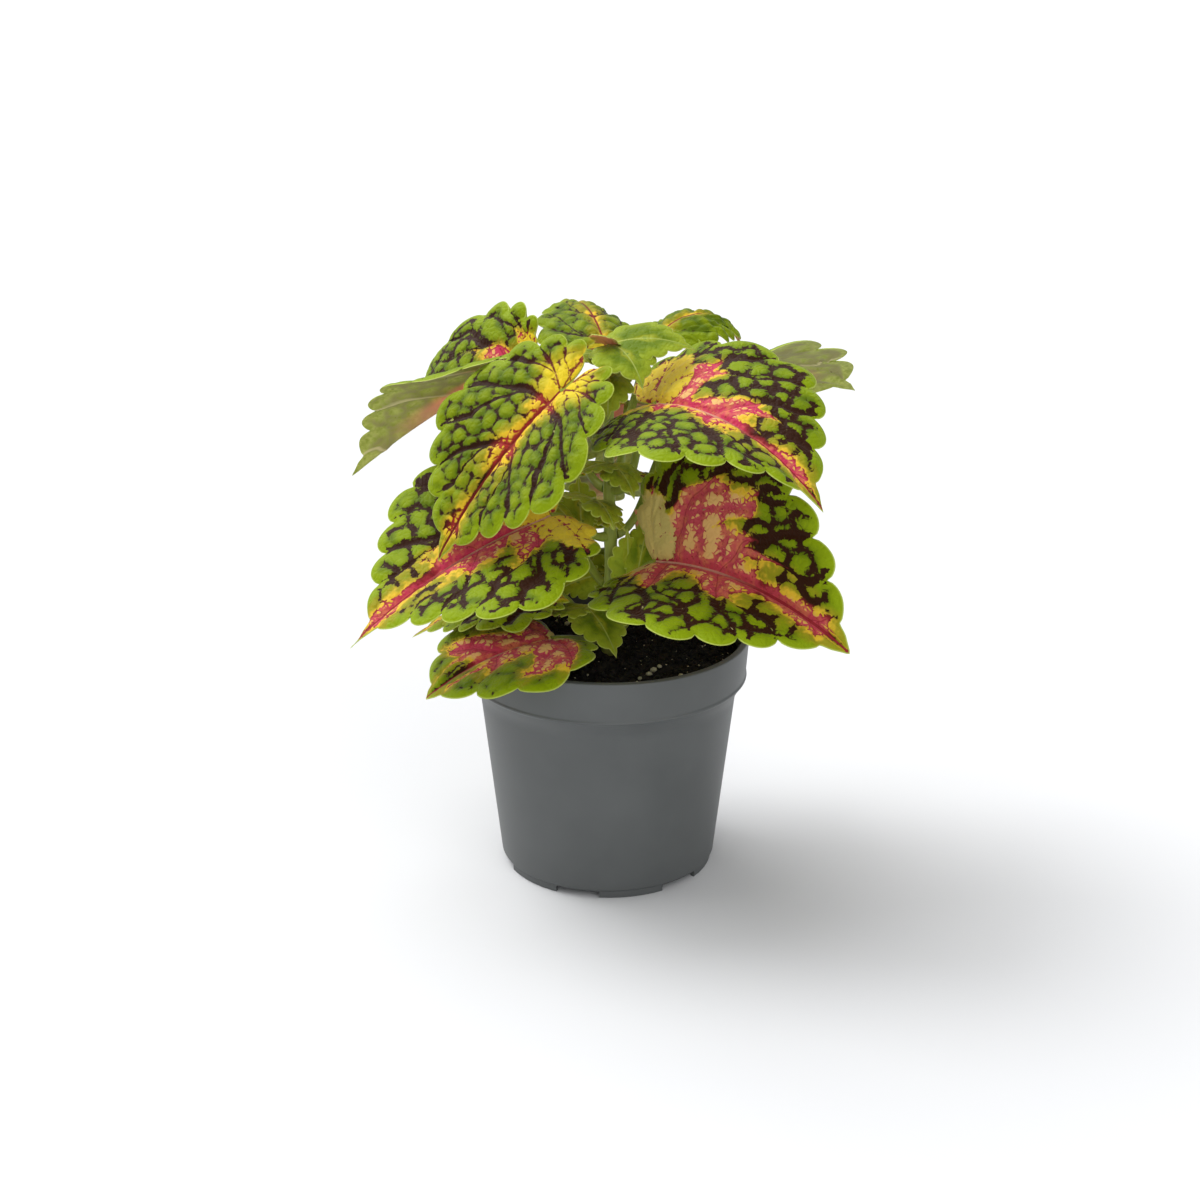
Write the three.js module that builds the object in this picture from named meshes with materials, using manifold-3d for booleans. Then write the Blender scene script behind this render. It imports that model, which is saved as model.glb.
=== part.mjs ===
// A coleus in a moulded nursery pot. Units are millimetres, +Z is up, and the origin is the middle of the
// pot's base on the surface that the pot stands on. The plant is one square stem with opposite pairs of
// toothed leaves, each pair turned about a quarter turn from the pair below, and small leafy shoots in the
// leaf axils and at the tip. Every leaf is a thin closed blade: a flat outline with rounded teeth is bent
// along its midrib and across it, and its stalk runs on under the blade as the midrib.

import * as THREE from 'three';
import { mergeVertices } from 'three/addons/utils/BufferGeometryUtils.js';
import Module from 'manifold-3d';

const wasm = await Module();
wasm.setup();

// ---------------------------------------------------------------- driving dimensions

const POT = {
  height: 103,
  rimRadius: 60,
  lipWidth: 3,
  bandRadius: 58.7, // outside of the rim band at its lower edge
  bandHeight: 17.7,
  shoulderDrop: 7, // the band narrows to the body over this height
  bodyTopRadius: 54.6,
  bodyFootRadius: 46.2,
  footRadius: 45,
  footHeight: 3.4,
  wall: 1.5,
  floor: 1.8,
  sides: 48,
};
// drainage gaps in the foot ring
const FOOT_NOTCH = { count: 6, width: 19, height: 3, depth: 14, firstAngle: -107 };
const DRAIN_HOLE = { radius: 4, circle: 33, sides: 12 };

// crown: how much higher the mix is round the stem. rings: radii of the rings of lumps on its top
const SOIL = { level: 92, crown: 2.5, crownSpread: 22, bump: 1.1, rings: [10, 19, 28, 37, 46, 52],
  stemHoleRadius: 4.6, sides: 32 };
const FIT_GAP = 0.3; // clearance kept between pieces that touch

const STEM = {
  buried: 24,
  footRadius: 3.9,
  tipRadius: 2.3,
  // where the middle of the stem is, from the root to the tip
  path: [[0, 0, 68], [0, 0, 92], [1.2, -0.6, 126], [0.4, 0.4, 168], [0, 0, 206]],
};
// heights on the stem where a pair of leaves grows
const STEM_NODE = { lowest: 101, low: 124, middle: 146, high: 166, upper: 185, top: 198 };

const BLADE_THICKNESS = 0.9;
const STALK_RADIUS = 1.7;

// base: where the blade meets its stalk. heading: compass angle of the midrib, 0 along +X, 90 along +Y.
// pitch: rise of the midrib at the base. droop, bend and twist: how far pitch, heading and roll turn by
// the tip. fold: slope of each half away from the midrib, below zero where the halves rise like a V.
// curl: further turn of each half by its edge. lobe: how far the base lobes reach back, in lengths.
const LEAVES = [
  { name: 'leaf_lowest_front_left', node: 'lowest', base: [-22, -21.5, 108.5], heading: -148, pitch: 4,
    roll: 0, droop: 40, bend: -13, twist: -8, length: 62, halfWidth: 38, fold: -9, curl: 17, lobe: 0.18,
    skew: 0.4, apex: 0.34, teeth: 5, toothDepth: 4.2 },
  { name: 'leaf_lowest_rear_right', node: 'lowest', base: [20, 22, 116], heading: 40, pitch: 6, roll: 4,
    droop: 40, bend: 8, twist: 5, length: 72, halfWidth: 33, fold: 4, curl: 20, lobe: 0.12 },
  { name: 'leaf_low_front_right', node: 'low', base: [18.2, -18.8, 141], heading: -46, pitch: 14, roll: 44,
    droop: 45, bend: 9, twist: 2, length: 103, halfWidth: 51, fold: -30, curl: -12, lobe: 0.13,
    hip: -0.04, apex: 0.26 },
  { name: 'leaf_low_rear_left', node: 'low', base: [-18, 20, 142], heading: 134, pitch: 0, roll: -6,
    droop: 60, bend: -6, twist: -6, length: 92, halfWidth: 42, fold: 3, curl: 22, lobe: 0.12 },
  { name: 'leaf_middle_front_left', node: 'middle', base: [-22.2, -16, 160.5], heading: -154, pitch: -12,
    roll: -22, droop: 29, bend: -4, twist: 12, length: 101, halfWidth: 49, fold: -12, curl: 10, lobe: 0.16,
    apex: -0.06 },
  { name: 'leaf_middle_rear_right', node: 'middle', base: [29, 21, 189], heading: 25, pitch: 29, roll: -42,
    droop: 57, bend: 16, twist: 6, length: 100.5, halfWidth: 38, fold: -3, curl: 11, lobe: 0.08,
    teeth: 5, toothDepth: 8 },
  { name: 'leaf_high_front_right', node: 'high', base: [18, -12.3, 206], heading: -50, pitch: 14, roll: 24,
    droop: 60, bend: 11, twist: -28, length: 98, halfWidth: 46, fold: -17, curl: 24, lobe: 0.26,
    skew: 0.35, sinus: 0.1, hip: -0.1 },
  { name: 'leaf_high_rear_left', node: 'high', base: [-32, 32.5, 214.5], heading: 164, pitch: -28, roll: -24,
    droop: 14, bend: 4, twist: 52, length: 101.5, halfWidth: 37, fold: -48, curl: 30, lobe: 0.12 },
  { name: 'leaf_upper_front_left', node: 'upper', base: [-18.5, -20.4, 214], heading: -163, pitch: -41,
    roll: -22, droop: 22, bend: -2, twist: -7, length: 86, halfWidth: 40.5, fold: -12, curl: 14, lobe: 0.35,
    sinus: -0.05, hip: -0.08 },
  { name: 'leaf_upper_rear_right', node: 'upper', base: [19.5, 27, 224], heading: 34, pitch: 42, roll: 0,
    droop: 110, bend: 5, twist: 12, length: 58, halfWidth: 19, fold: 6, curl: 30, lobe: 0.08 },
  { name: 'leaf_side_left', node: 'lowest', base: [-21, 2, 120.5], heading: 184, pitch: 0, roll: 6,
    droop: 32, bend: 4, twist: 4, length: 66, halfWidth: 29, fold: 2, curl: 18, lobe: 0.08 },
  { name: 'leaf_side_right', node: 'low', base: [20, 12, 138], heading: 18, pitch: 8, roll: -4,
    droop: 46, bend: 0, twist: 0, length: 62, halfWidth: 27, fold: 2, curl: 20, lobe: 0.08 },
  { name: 'leaf_middle_rear', node: 'middle', base: [1, 21, 168], heading: 92, pitch: -3, roll: 5,
    droop: 56, bend: 4, twist: 4, length: 76, halfWidth: 32, fold: 2, curl: 22, lobe: 0.1 },
  { name: 'leaf_high_rear', node: 'high', base: [8.3, 21, 198], heading: 96, pitch: -14, roll: -4,
    droop: 52, bend: -4, twist: -4, length: 91, halfWidth: 30, fold: 0, curl: 24, lobe: 0.1 },
  { name: 'leaf_top_rear', node: 'top', base: [-0.5, 15.5, 221.5], heading: 102, pitch: 28, roll: 7,
    droop: 50, bend: 3, twist: 3, length: 76, halfWidth: 23.5, fold: 9, curl: 27, lobe: 0.1 },
];

// teeth: how many stand on each half of the blade, between the shares toothStart and toothEnd of its
// outline. toothShape: [place along a tooth, share of its depth] from one notch to the next.
// stations, columns: the net of the blade, along it and at these shares across each half.
// midribDepth: how far the midrib stands out under the blade at its base. wave: height of the ripples
// at the edge, which run at waveRate along the blade and start at wavePhase on its [left, right] half.
// The outline: skew is the share by which the left lobe is longer than the right one, sinus how open the
// notch between the lobes is, hip how far back the full width reaches, and apex how full the tip is
const PLAIN_OUTLINE = { skew: 0, sinus: 0.3, hip: 0.02, apex: 0.14 };
const MAIN_BLADE = { ...PLAIN_OUTLINE, teeth: 8, toothDepth: 5.6, toothStart: 0.1, toothEnd: 0.93,
  toothShape: [[0, 0], [0.22, 0.74], [0.52, 1], [0.82, 0.8]], stations: 8, columns: [0.07, 0.45, 0.82],
  midribDepth: 1.3, wave: 1.2, waveRate: 13, wavePhase: [0.8, 2.9] };
const SMALL_BLADE = { ...PLAIN_OUTLINE, teeth: 5, toothDepth: 2, toothStart: 0.12, toothEnd: 0.9,
  toothShape: [[0, 0], [0.55, 1]], stations: 4, columns: [0.7],
  midribDepth: 0.3, wave: 0.5, waveRate: 13, wavePhase: [0.8, 2.9] };
// what the small leaves of the shoots have in common
const SMALL_LEAF = { ...SMALL_BLADE, bend: 0, twist: 0, fold: -6, curl: 26, lobe: 0.06 };

// leafy shoots: a short stalk with small leaves set along it. root: the height on the stem where it grows
// and the compass angle that it leaves at. stalk: the rest of its path. `along` is the place on the stalk
// from 0 to 1; the other words are those of LEAVES
const SHOOTS = [
  { name: 'shoot_front_high', root: [170, -86], stalk: [[0.6, -9.5, 175], [1, -11.5, 181]], radius: [1.4, 1],
    leaves: [
      { along: 0.95, heading: -60, pitch: 5, droop: 65, length: 23, halfWidth: 9, roll: 0 },
      { along: 0.95, heading: -140, pitch: 20, droop: 50, length: 19, halfWidth: 8, roll: 0 },
    ] },
  { name: 'shoot_front', root: [152, -110], stalk: [[-4, -10, 158], [-6, -12, 166]], radius: [1.4, 1],
    leaves: [
      { along: 0.95, heading: -64, pitch: 15, droop: 75, length: 22, halfWidth: 9, roll: -10 },
      { along: 0.95, heading: -165, pitch: 30, droop: 40, length: 16, halfWidth: 7, roll: 0 },
      { along: 0.55, heading: -20, pitch: 5, droop: 60, length: 14, halfWidth: 6, roll: 10 },
    ] },
  { name: 'shoot_low_front', root: [108, -122], stalk: [[-6, -8, 112], [-9, -10, 118]], radius: [1.4, 1],
    leaves: [
      { along: 0.95, heading: -62, pitch: -5, droop: 45, length: 30, halfWidth: 12, roll: 0 },
      { along: 0.95, heading: -172, pitch: 10, droop: 40, length: 18, halfWidth: 8, roll: 0 },
    ] },
  { name: 'shoot_left', root: [151, 150], stalk: [[-9, 5, 155], [-12.5, 6, 159]], radius: [1.5, 1],
    leaves: [
      { along: 0.96, heading: 152, pitch: 10, droop: 40, length: 30, halfWidth: 12, roll: 0 },
      { along: 0.96, heading: 215, pitch: 30, droop: 40, length: 16, halfWidth: 7, roll: 0 },
    ] },
  { name: 'shoot_low_rear', root: [113, 66], stalk: [[5, 11, 120], [6, 15, 129]], radius: [1.5, 1.1],
    leaves: [
      { along: 0.95, heading: 92, pitch: 14, droop: 40, length: 34, halfWidth: 14, roll: 0 },
      { along: 0.55, heading: 165, pitch: 10, droop: 50, length: 22, halfWidth: 9, roll: 0 },
    ] },
];

// the leafy tip goes on from the top of the stem
const TIP = { name: 'shoot_tip', stalk: [[0, 0, 206.3], [0.4, 0, 217], [0.8, 0, 228]], radius: [2.1, 1.2],
  leaves: [
    { along: 0.45, heading: -92, pitch: -10, droop: 60, length: 25, halfWidth: 10, roll: 0 },
    { along: 0.97, heading: -60, pitch: 8, droop: 70, length: 31, halfWidth: 14, roll: 6 },
    { along: 0.72, heading: 186, pitch: 20, droop: 30, length: 22, halfWidth: 10, roll: 0 },
    { along: 0.98, heading: -6, pitch: 20, droop: 46, length: 36, halfWidth: 13, roll: 24 },
    { along: 0.98, heading: -118, pitch: 40, droop: 30, length: 16, halfWidth: 6, roll: 0 },
  ] };

const FINISH = {
  pot: new THREE.MeshStandardMaterial({ color: 0x66696b, roughness: 0.5, metalness: 0 }),
  soil: new THREE.MeshStandardMaterial({ color: 0x15120e, roughness: 0.95, metalness: 0 }),
  stem: new THREE.MeshStandardMaterial({ color: 0x86a344, roughness: 0.55, metalness: 0 }),
  leaf: new THREE.MeshStandardMaterial({ color: 0x6d8c26, roughness: 0.5, metalness: 0 }),
};

// ---------------------------------------------------------------- solids

const radians = THREE.MathUtils.degToRad;

/** A closed three.js geometry as a solid that can be joined and cut. */
function solidOf(geometry) {
  const bare = new THREE.BufferGeometry();
  bare.setAttribute('position', geometry.getAttribute('position').clone());
  if (geometry.index) bare.setIndex(geometry.index.clone());
  const merged = mergeVertices(bare, 1e-4);
  const index = [];
  for (let i = 0; i < merged.index.count; i += 3) {
    const corners = [0, 1, 2].map((k) => merged.index.getX(i + k));
    if (new Set(corners).size === 3) index.push(...corners);
  }
  return new wasm.Manifold(new wasm.Mesh({
    numProp: 3,
    vertProperties: Float32Array.from(merged.getAttribute('position').array),
    triVerts: Uint32Array.from(index),
  }));
}

/** A joined or cut solid as a three.js geometry. */
function geometryOf(solid) {
  const { vertProperties, triVerts } = solid.getMesh();
  const geometry = new THREE.BufferGeometry();
  geometry.setAttribute('position', new THREE.BufferAttribute(vertProperties, 3));
  geometry.setIndex(new THREE.BufferAttribute(triVerts, 1));
  geometry.computeVertexNormals();
  return geometry;
}

/** A named mesh, the node of one real piece. */
function piece(name, geometry, material) {
  const mesh = new THREE.Mesh(geometry, material);
  mesh.name = name;
  return mesh;
}

/** A closed turned body about +Z from [radius, height] pairs that start and end on the axis. */
function turned(profile, sides) {
  const points = profile.map(([radius, height]) => new THREE.Vector2(radius, height));
  return new THREE.LatheGeometry(points, sides).rotateX(Math.PI / 2);
}

/** A closed rod along a curve. `radiusAt` and `sectionAt` give its size and its outline's shape. */
function rod(curve, steps, sides, radiusAt, sectionAt = () => 1) {
  const frames = curve.computeFrenetFrames(steps, false);
  const positions = [];
  const index = [];
  for (let i = 0; i <= steps; i += 1) {
    const centre = curve.getPointAt(i / steps);
    for (let j = 0; j < sides; j += 1) {
      const angle = (2 * Math.PI * j) / sides;
      const reach = radiusAt(i / steps) * sectionAt(angle);
      const point = centre.clone()
        .addScaledVector(frames.normals[i], reach * Math.cos(angle))
        .addScaledVector(frames.binormals[i], reach * Math.sin(angle));
      positions.push(point.x, point.y, point.z);
    }
  }
  for (let i = 0; i < steps; i += 1) {
    for (let j = 0; j < sides; j += 1) {
      const [a, b] = [i * sides + j, i * sides + ((j + 1) % sides)];
      index.push(a, b, a + sides, b, b + sides, a + sides);
    }
  }
  for (let j = 1; j < sides - 1; j += 1) {
    const last = steps * sides;
    index.push(0, j + 1, j, last, last + j, last + j + 1);
  }
  const geometry = new THREE.BufferGeometry();
  geometry.setAttribute('position', new THREE.Float32BufferAttribute(positions, 3));
  geometry.setIndex(index);
  return geometry;
}

// ---------------------------------------------------------------- pot

/** Half the outline of the pot: up the outside, over the lip, down the inside and along the floor. */
function potProfile() {
  const bandFoot = POT.height - POT.bandHeight;
  const shoulder = bandFoot - POT.shoulderDrop;
  const inside = POT.rimRadius - POT.lipWidth;
  const floorTop = POT.footHeight + POT.floor;
  return [
    [0, POT.footHeight],
    [POT.footRadius - POT.wall - 0.4, POT.footHeight],
    [POT.footRadius - POT.wall - 0.6, 0],
    [POT.footRadius - 0.3, 0],
    [POT.footRadius, 0.4],
    [POT.bodyFootRadius, 4],
    [POT.bodyTopRadius, shoulder],
    [POT.bandRadius, bandFoot],
    [POT.rimRadius, POT.height - 1.2],
    [POT.rimRadius - 0.6, POT.height],
    [inside + 0.5, POT.height],
    [inside, POT.height - 1],
    [inside - 0.5, bandFoot + 1],
    [POT.bodyTopRadius - POT.wall, shoulder - 0.5],
    [POT.bodyFootRadius - POT.wall, floorTop + 0.6],
    [POT.bodyFootRadius - POT.wall - 1, floorTop],
    [0, floorTop],
  ];
}

/** The moulded pot, with drainage gaps cut through its foot ring and holes through its floor. */
function makePot() {
  let pot = solidOf(turned(potProfile(), POT.sides));
  for (let k = 0; k < FOOT_NOTCH.count; k += 1) {
    const angle = radians(FOOT_NOTCH.firstAngle + (360 * k) / FOOT_NOTCH.count);
    const gap = new THREE.BoxGeometry(FOOT_NOTCH.depth, FOOT_NOTCH.width, 2 * FOOT_NOTCH.height)
      .translate(POT.footRadius, 0, 0)
      .rotateZ(angle);
    const hole = new THREE.CylinderGeometry(DRAIN_HOLE.radius, DRAIN_HOLE.radius, 10, DRAIN_HOLE.sides)
      .rotateX(Math.PI / 2)
      .translate(DRAIN_HOLE.circle, 0, POT.footHeight)
      .rotateZ(angle);
    pot = pot.subtract(solidOf(gap)).subtract(solidOf(hole));
  }
  return piece('pot', geometryOf(pot), FINISH.pot);
}

// ---------------------------------------------------------------- potting mix

/** Height of the mix at a place: a low crown round the stem and fixed lumps. */
function soilHeight(x, y) {
  const crown = SOIL.crown * Math.exp(-(x * x + y * y) / SOIL.crownSpread ** 2);
  const broad = Math.sin(0.31 * x + 1.3) * Math.sin(0.37 * y + 0.4);
  const fine = 0.6 * Math.sin(0.71 * x - 0.53 * y + 2.1);
  return SOIL.level + crown + SOIL.bump * (broad + fine);
}

/** The mix fills the pot from its floor and has a plain hole where the stem stands. */
function makeSoil() {
  const wallFoot = POT.bodyFootRadius - POT.wall - 1 - FIT_GAP;
  const shoulder = POT.height - POT.bandHeight - POT.shoulderDrop;
  const wallSlope = (POT.bodyTopRadius - POT.bodyFootRadius) / shoulder;
  const floorTop = POT.footHeight + POT.floor + FIT_GAP;
  const below = shoulder - 1; // the mix narrows just below the pot's own shoulder
  const bodyInside = wallFoot + wallSlope * (below - floorTop);
  const rim = POT.rimRadius - POT.lipWidth - 0.5 - FIT_GAP;
  const profile = [
    [0, floorTop],
    [wallFoot, floorTop],
    [bodyInside, below],
    [rim - 0.4, SOIL.level - 4],
    [rim - 0.4, SOIL.level - 1.5],
    ...SOIL.rings.toReversed().map((radius) => [radius, SOIL.level]),
    [SOIL.stemHoleRadius, SOIL.level],
    [SOIL.stemHoleRadius, SOIL.level - STEM.buried - 1],
    [0, SOIL.level - STEM.buried - 1],
  ];
  const geometry = turned(profile, SOIL.sides);
  const place = geometry.getAttribute('position');
  for (let i = 0; i < place.count; i += 1) {
    if (Math.abs(place.getZ(i) - SOIL.level) < 0.1) place.setZ(i, soilHeight(place.getX(i), place.getY(i)));
  }
  return piece('potting_mix', geometryOf(solidOf(geometry)), FINISH.soil);
}

// ---------------------------------------------------------------- stem

const stemCurve = new THREE.CatmullRomCurve3(STEM.path.map((point) => new THREE.Vector3(...point)));

/** The share of the stem's length at a height. */
function stemShare(height) {
  let [low, high] = [0, 1];
  for (let k = 0; k < 24; k += 1) {
    const middle = (low + high) / 2;
    if (stemCurve.getPointAt(middle).z < height) low = middle;
    else high = middle;
  }
  return low;
}

/** Radius of the stem at a share of its length: it tapers and swells a little at each pair of leaves. */
function stemRadius(share) {
  const height = stemCurve.getPointAt(share).z;
  const taper = THREE.MathUtils.lerp(STEM.footRadius, STEM.tipRadius, share);
  const swelling = Object.values(STEM_NODE).map((node) => Math.exp(-(((height - node) / 4) ** 2)));
  return taper * (1 + 0.12 * Math.max(...swelling));
}

/** Outline of a four-cornered stem with round corners, 1 at the corners. */
function squareSection(angle) {
  const [c, s] = [Math.abs(Math.cos(angle)), Math.abs(Math.sin(angle))];
  return 0.84 / (c ** 4 + s ** 4) ** 0.25 / 1.19 + 0.16;
}

/** A place just clear of the stem at a height, where a stalk leaves it towards a direction. */
function stemSide(height, outward) {
  const share = stemShare(height);
  return stemCurve.getPointAt(share).addScaledVector(outward, stemRadius(share) + FIT_GAP);
}

function makeStem() {
  return piece('stem', geometryOf(solidOf(rod(stemCurve, 26, 8, stemRadius, squareSection))), FINISH.stem);
}

// ---------------------------------------------------------------- leaves

/** Direction, sideways and upward unit vectors of a blade at a share of its length. */
function bladeFrame(leaf, share) {
  const heading = radians(leaf.heading + leaf.bend * share);
  const pitch = radians(leaf.pitch - leaf.droop * share);
  const roll = radians(leaf.roll + leaf.twist * share);
  const along = new THREE.Vector3(
    Math.cos(heading) * Math.cos(pitch),
    Math.sin(heading) * Math.cos(pitch),
    Math.sin(pitch),
  );
  const level = new THREE.Vector3(-Math.sin(heading), Math.cos(heading), 0);
  const upright = along.clone().cross(level);
  const side = level.clone().multiplyScalar(Math.cos(roll)).addScaledVector(upright, Math.sin(roll));
  return { along, side, up: along.clone().cross(side) };
}

/** Places on the midrib, from behind the base to the tip, in short straight steps. */
function midribPath(leaf) {
  const [first, steps] = [-0.3, 52];
  const step = (1 - first) / steps;
  const places = [new THREE.Vector3()];
  for (let k = 0; k < steps; k += 1) {
    const { along } = bladeFrame(leaf, first + (k + 0.5) * step);
    places.push(places[k].clone().addScaledVector(along, step * leaf.length));
  }
  const at = (share) => {
    const place = THREE.MathUtils.clamp((share - first) / step, 0, steps - 1e-6);
    const k = Math.floor(place);
    return places[k].clone().lerp(places[k + 1], place - k);
  };
  const shift = new THREE.Vector3(...leaf.base).sub(at(0));
  return (share) => at(share).add(shift);
}

/** A place on the blade: x along the midrib in lengths, y across it in mm, h above its middle layer. */
function bladePoint(leaf, midrib, x, y, h) {
  const { side, up } = bladeFrame(leaf, x);
  const fold = radians(leaf.fold);
  const turn = radians(leaf.curl) / leaf.halfWidth;
  const across = Math.abs(y);
  const slope = fold + turn * across;
  const out = (Math.sin(slope) - Math.sin(fold)) / turn;
  const fall = (Math.cos(fold) - Math.cos(slope)) / turn;
  const phase = leaf.wavePhase[y > 0 ? 0 : 1];
  const ripple = leaf.wave * (across / leaf.halfWidth) ** 2 * Math.sin(leaf.waveRate * x + phase);
  const sign = Math.sign(y);
  return midrib(x)
    .addScaledVector(side, sign * (out + h * Math.sin(slope)))
    .addScaledVector(up, h * Math.cos(slope) - fall + ripple);
}

/** Outline of half a blade, from its base round the lobe to its tip, in lengths and half widths. */
function bladeOutline(leaf, side) {
  const half = new THREE.CurvePath();
  const corner = (x, y) => new THREE.Vector2(x, y);
  const lobe = 1.3 * leaf.lobe * (1 + side * leaf.skew);
  const widest = corner(0.36, 1);
  half.add(new THREE.CubicBezierCurve(corner(0, 0), corner(-lobe, leaf.sinus), corner(leaf.hip, 1), widest));
  half.add(new THREE.CubicBezierCurve(widest, corner(0.6, 1), corner(0.8, leaf.apex), corner(1, 0)));
  return half;
}

/** Half a blade's edge with its rounded teeth: a list of [share round the outline, x, y]. */
function toothedEdge(leaf, side) {
  const outline = bladeOutline(leaf, side);
  const flat = (share) => {
    const point = outline.getPoint(THREE.MathUtils.clamp(share, 0, 1));
    return new THREE.Vector2(point.x * leaf.length, point.y * leaf.halfWidth);
  };
  const corners = [];
  const toothSpan = (leaf.toothEnd - leaf.toothStart) / leaf.teeth;
  for (let k = 0; k < leaf.teeth; k += 1) {
    for (const [phase, height] of leaf.toothShape) {
      corners.push([leaf.toothStart + (k + phase) * toothSpan, height]);
    }
  }
  const beforeTeeth = [leaf.toothStart / 2, 0.5];
  const afterTeeth = [[leaf.toothEnd, 0.3], [(1 + leaf.toothEnd) / 2, 0.5]];
  const shares = [beforeTeeth, ...corners, ...afterTeeth];
  return shares.map(([share, height]) => {
    const tangent = flat(share + 0.01).sub(flat(share - 0.01)).normalize();
    const outward = new THREE.Vector2(-tangent.y, tangent.x);
    const fade = Math.min(1, 4 * (1.05 - share), 5 * share); // smaller teeth near the base and the tip
    const point = flat(share).addScaledVector(outward, (height - 0.5) * leaf.toothDepth * fade);
    return [share, point.x / leaf.length, point.y];
  });
}

/** A blade as a closed solid: the same net of triangles on both faces, joined round the toothed edge. */
function bladeSolid(leaf) {
  const midrib = midribPath(leaf);
  const net = []; // flat places [x, y] of the net's corners
  const add = (x, y) => net.push([x, y]) - 1;
  const [base, tip] = [add(0, 0), add(1, 0)];
  const spine = []; // corners on the midrib, closer together near the base
  for (let i = 1; i < leaf.stations; i += 1) spine.push(add(0.96 * (i / leaf.stations) ** 1.25, 0));
  const faces = [];
  const rims = [];
  for (const side of [1, -1]) {
    const outline = bladeOutline(leaf, side);
    const face = (a, b, c) => faces.push(side > 0 ? [a, b, c] : [a, c, b]);
    const rows = [spine];
    for (const column of leaf.columns) {
      rows.push(spine.map((corner, i) => {
        const edge = outline.getPoint((i + 1) / leaf.stations);
        const x = THREE.MathUtils.lerp(net[corner][0], edge.x, column);
        return add(x, side * edge.y * leaf.halfWidth * column);
      }));
    }
    for (let r = 0; r + 1 < rows.length; r += 1) {
      const [inner, outer] = [rows[r], rows[r + 1]];
      face(base, outer[0], inner[0]);
      for (let i = 0; i + 1 < inner.length; i += 1) {
        face(inner[i], outer[i], outer[i + 1]);
        face(inner[i], outer[i + 1], inner[i + 1]);
      }
      face(inner.at(-1), outer.at(-1), tip);
    }
    // the outermost row and the toothed edge have different corners: join them in order of their shares
    const edge = toothedEdge(leaf, side).map(([share, x, y]) => ({ share, corner: add(x, side * y) }));
    const inner = rows.at(-1).map((corner, i) => ({ share: (i + 1) / leaf.stations, corner }));
    let [i, j] = [0, 0];
    face(base, edge[0].corner, inner[0].corner);
    while (i + 1 < inner.length || j + 1 < edge.length) {
      const stepEdge = i + 1 >= inner.length
        || (j + 1 < edge.length && edge[j + 1].share + edge[j].share < inner[i + 1].share + inner[i].share);
      if (stepEdge) {
        face(inner[i].corner, edge[j].corner, edge[j + 1].corner);
        j += 1;
      } else {
        face(inner[i].corner, edge[j].corner, inner[i + 1].corner);
        i += 1;
      }
    }
    face(inner[i].corner, edge[j].corner, tip);
    rims.push([base, ...edge.map(({ corner }) => corner), tip]);
  }
  const positions = [];
  const upper = () => BLADE_THICKNESS / 2;
  const lower = (x, y) => -BLADE_THICKNESS / 2 - (y === 0 ? leaf.midribDepth * (1 - x) : 0);
  for (const height of [upper, lower]) {
    for (const [x, y] of net) positions.push(...bladePoint(leaf, midrib, x, y, height(x, y)).toArray());
  }
  const count = net.length;
  const index = faces.flatMap(([a, b, c]) => [a, c, b, a + count, b + count, c + count]);
  rims.forEach((rim, k) => {
    for (let i = 0; i + 1 < rim.length; i += 1) {
      const [a, b] = k === 0 ? [rim[i], rim[i + 1]] : [rim[i + 1], rim[i]];
      index.push(a, b, b + count, a, b + count, a + count);
    }
  });
  const geometry = new THREE.BufferGeometry();
  geometry.setAttribute('position', new THREE.Float32BufferAttribute(positions, 3));
  geometry.setIndex(index);
  return solidOf(geometry);
}

/** The stalk of a main leaf, from just clear of the stem to the base of the blade. */
function stalkSolid(leaf) {
  const base = new THREE.Vector3(...leaf.base);
  const height = STEM_NODE[leaf.node];
  const centre = stemCurve.getPointAt(stemShare(height));
  const outward = new THREE.Vector3(base.x - centre.x, base.y - centre.y, 0).normalize();
  const start = stemSide(height, outward);
  const { along, up } = bladeFrame(leaf, 0);
  const arrival = base.clone().sub(start).normalize().add(along).normalize();
  const reach = base.distanceTo(start);
  const curve = new THREE.CubicBezierCurve3(
    start,
    start.clone().addScaledVector(outward, 0.3 * reach),
    base.clone().addScaledVector(arrival, -0.35 * reach),
    base.clone().addScaledVector(up, -0.35 * STALK_RADIUS).addScaledVector(along, 1.5),
  );
  return solidOf(rod(curve, 8, 5, (share) => STALK_RADIUS * (1.12 - 0.12 * share)));
}

/** A main leaf with its stalk, its blade and its midrib as one piece. */
function makeLeaf(entry) {
  const leaf = { ...MAIN_BLADE, ...entry };
  const solid = bladeSolid(leaf).add(stalkSolid(leaf));
  return piece(leaf.name, geometryOf(solid), FINISH.leaf);
}

/** The path of a shoot's stalk: straight out of the stem where it has a root there, and then upwards. */
function stalkPath(shoot) {
  const path = shoot.stalk.map((point) => new THREE.Vector3(...point));
  if (shoot.root) {
    const [height, heading] = shoot.root;
    const outward = new THREE.Vector3(Math.cos(radians(heading)), Math.sin(radians(heading)), 0);
    const start = stemSide(height, outward);
    path.unshift(start, start.clone().addScaledVector(outward, shoot.radius[0]));
  }
  return new THREE.CatmullRomCurve3(path);
}

/** A leafy shoot: its stalk and its small leaves joined as one piece. */
function makeShoot(shoot) {
  const stalk = stalkPath(shoot);
  const [thick, thin] = shoot.radius;
  let solid = solidOf(rod(stalk, 7, 6, (share) => THREE.MathUtils.lerp(thick, thin, share)));
  for (const entry of shoot.leaves) {
    const leaf = { ...SMALL_LEAF, ...entry, base: stalk.getPointAt(entry.along).toArray() };
    solid = solid.add(bladeSolid(leaf));
  }
  return piece(shoot.name, geometryOf(solid), FINISH.leaf);
}

// ---------------------------------------------------------------- the whole plant

const holder = new THREE.Group();
holder.add(makePot(), makeSoil());

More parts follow.
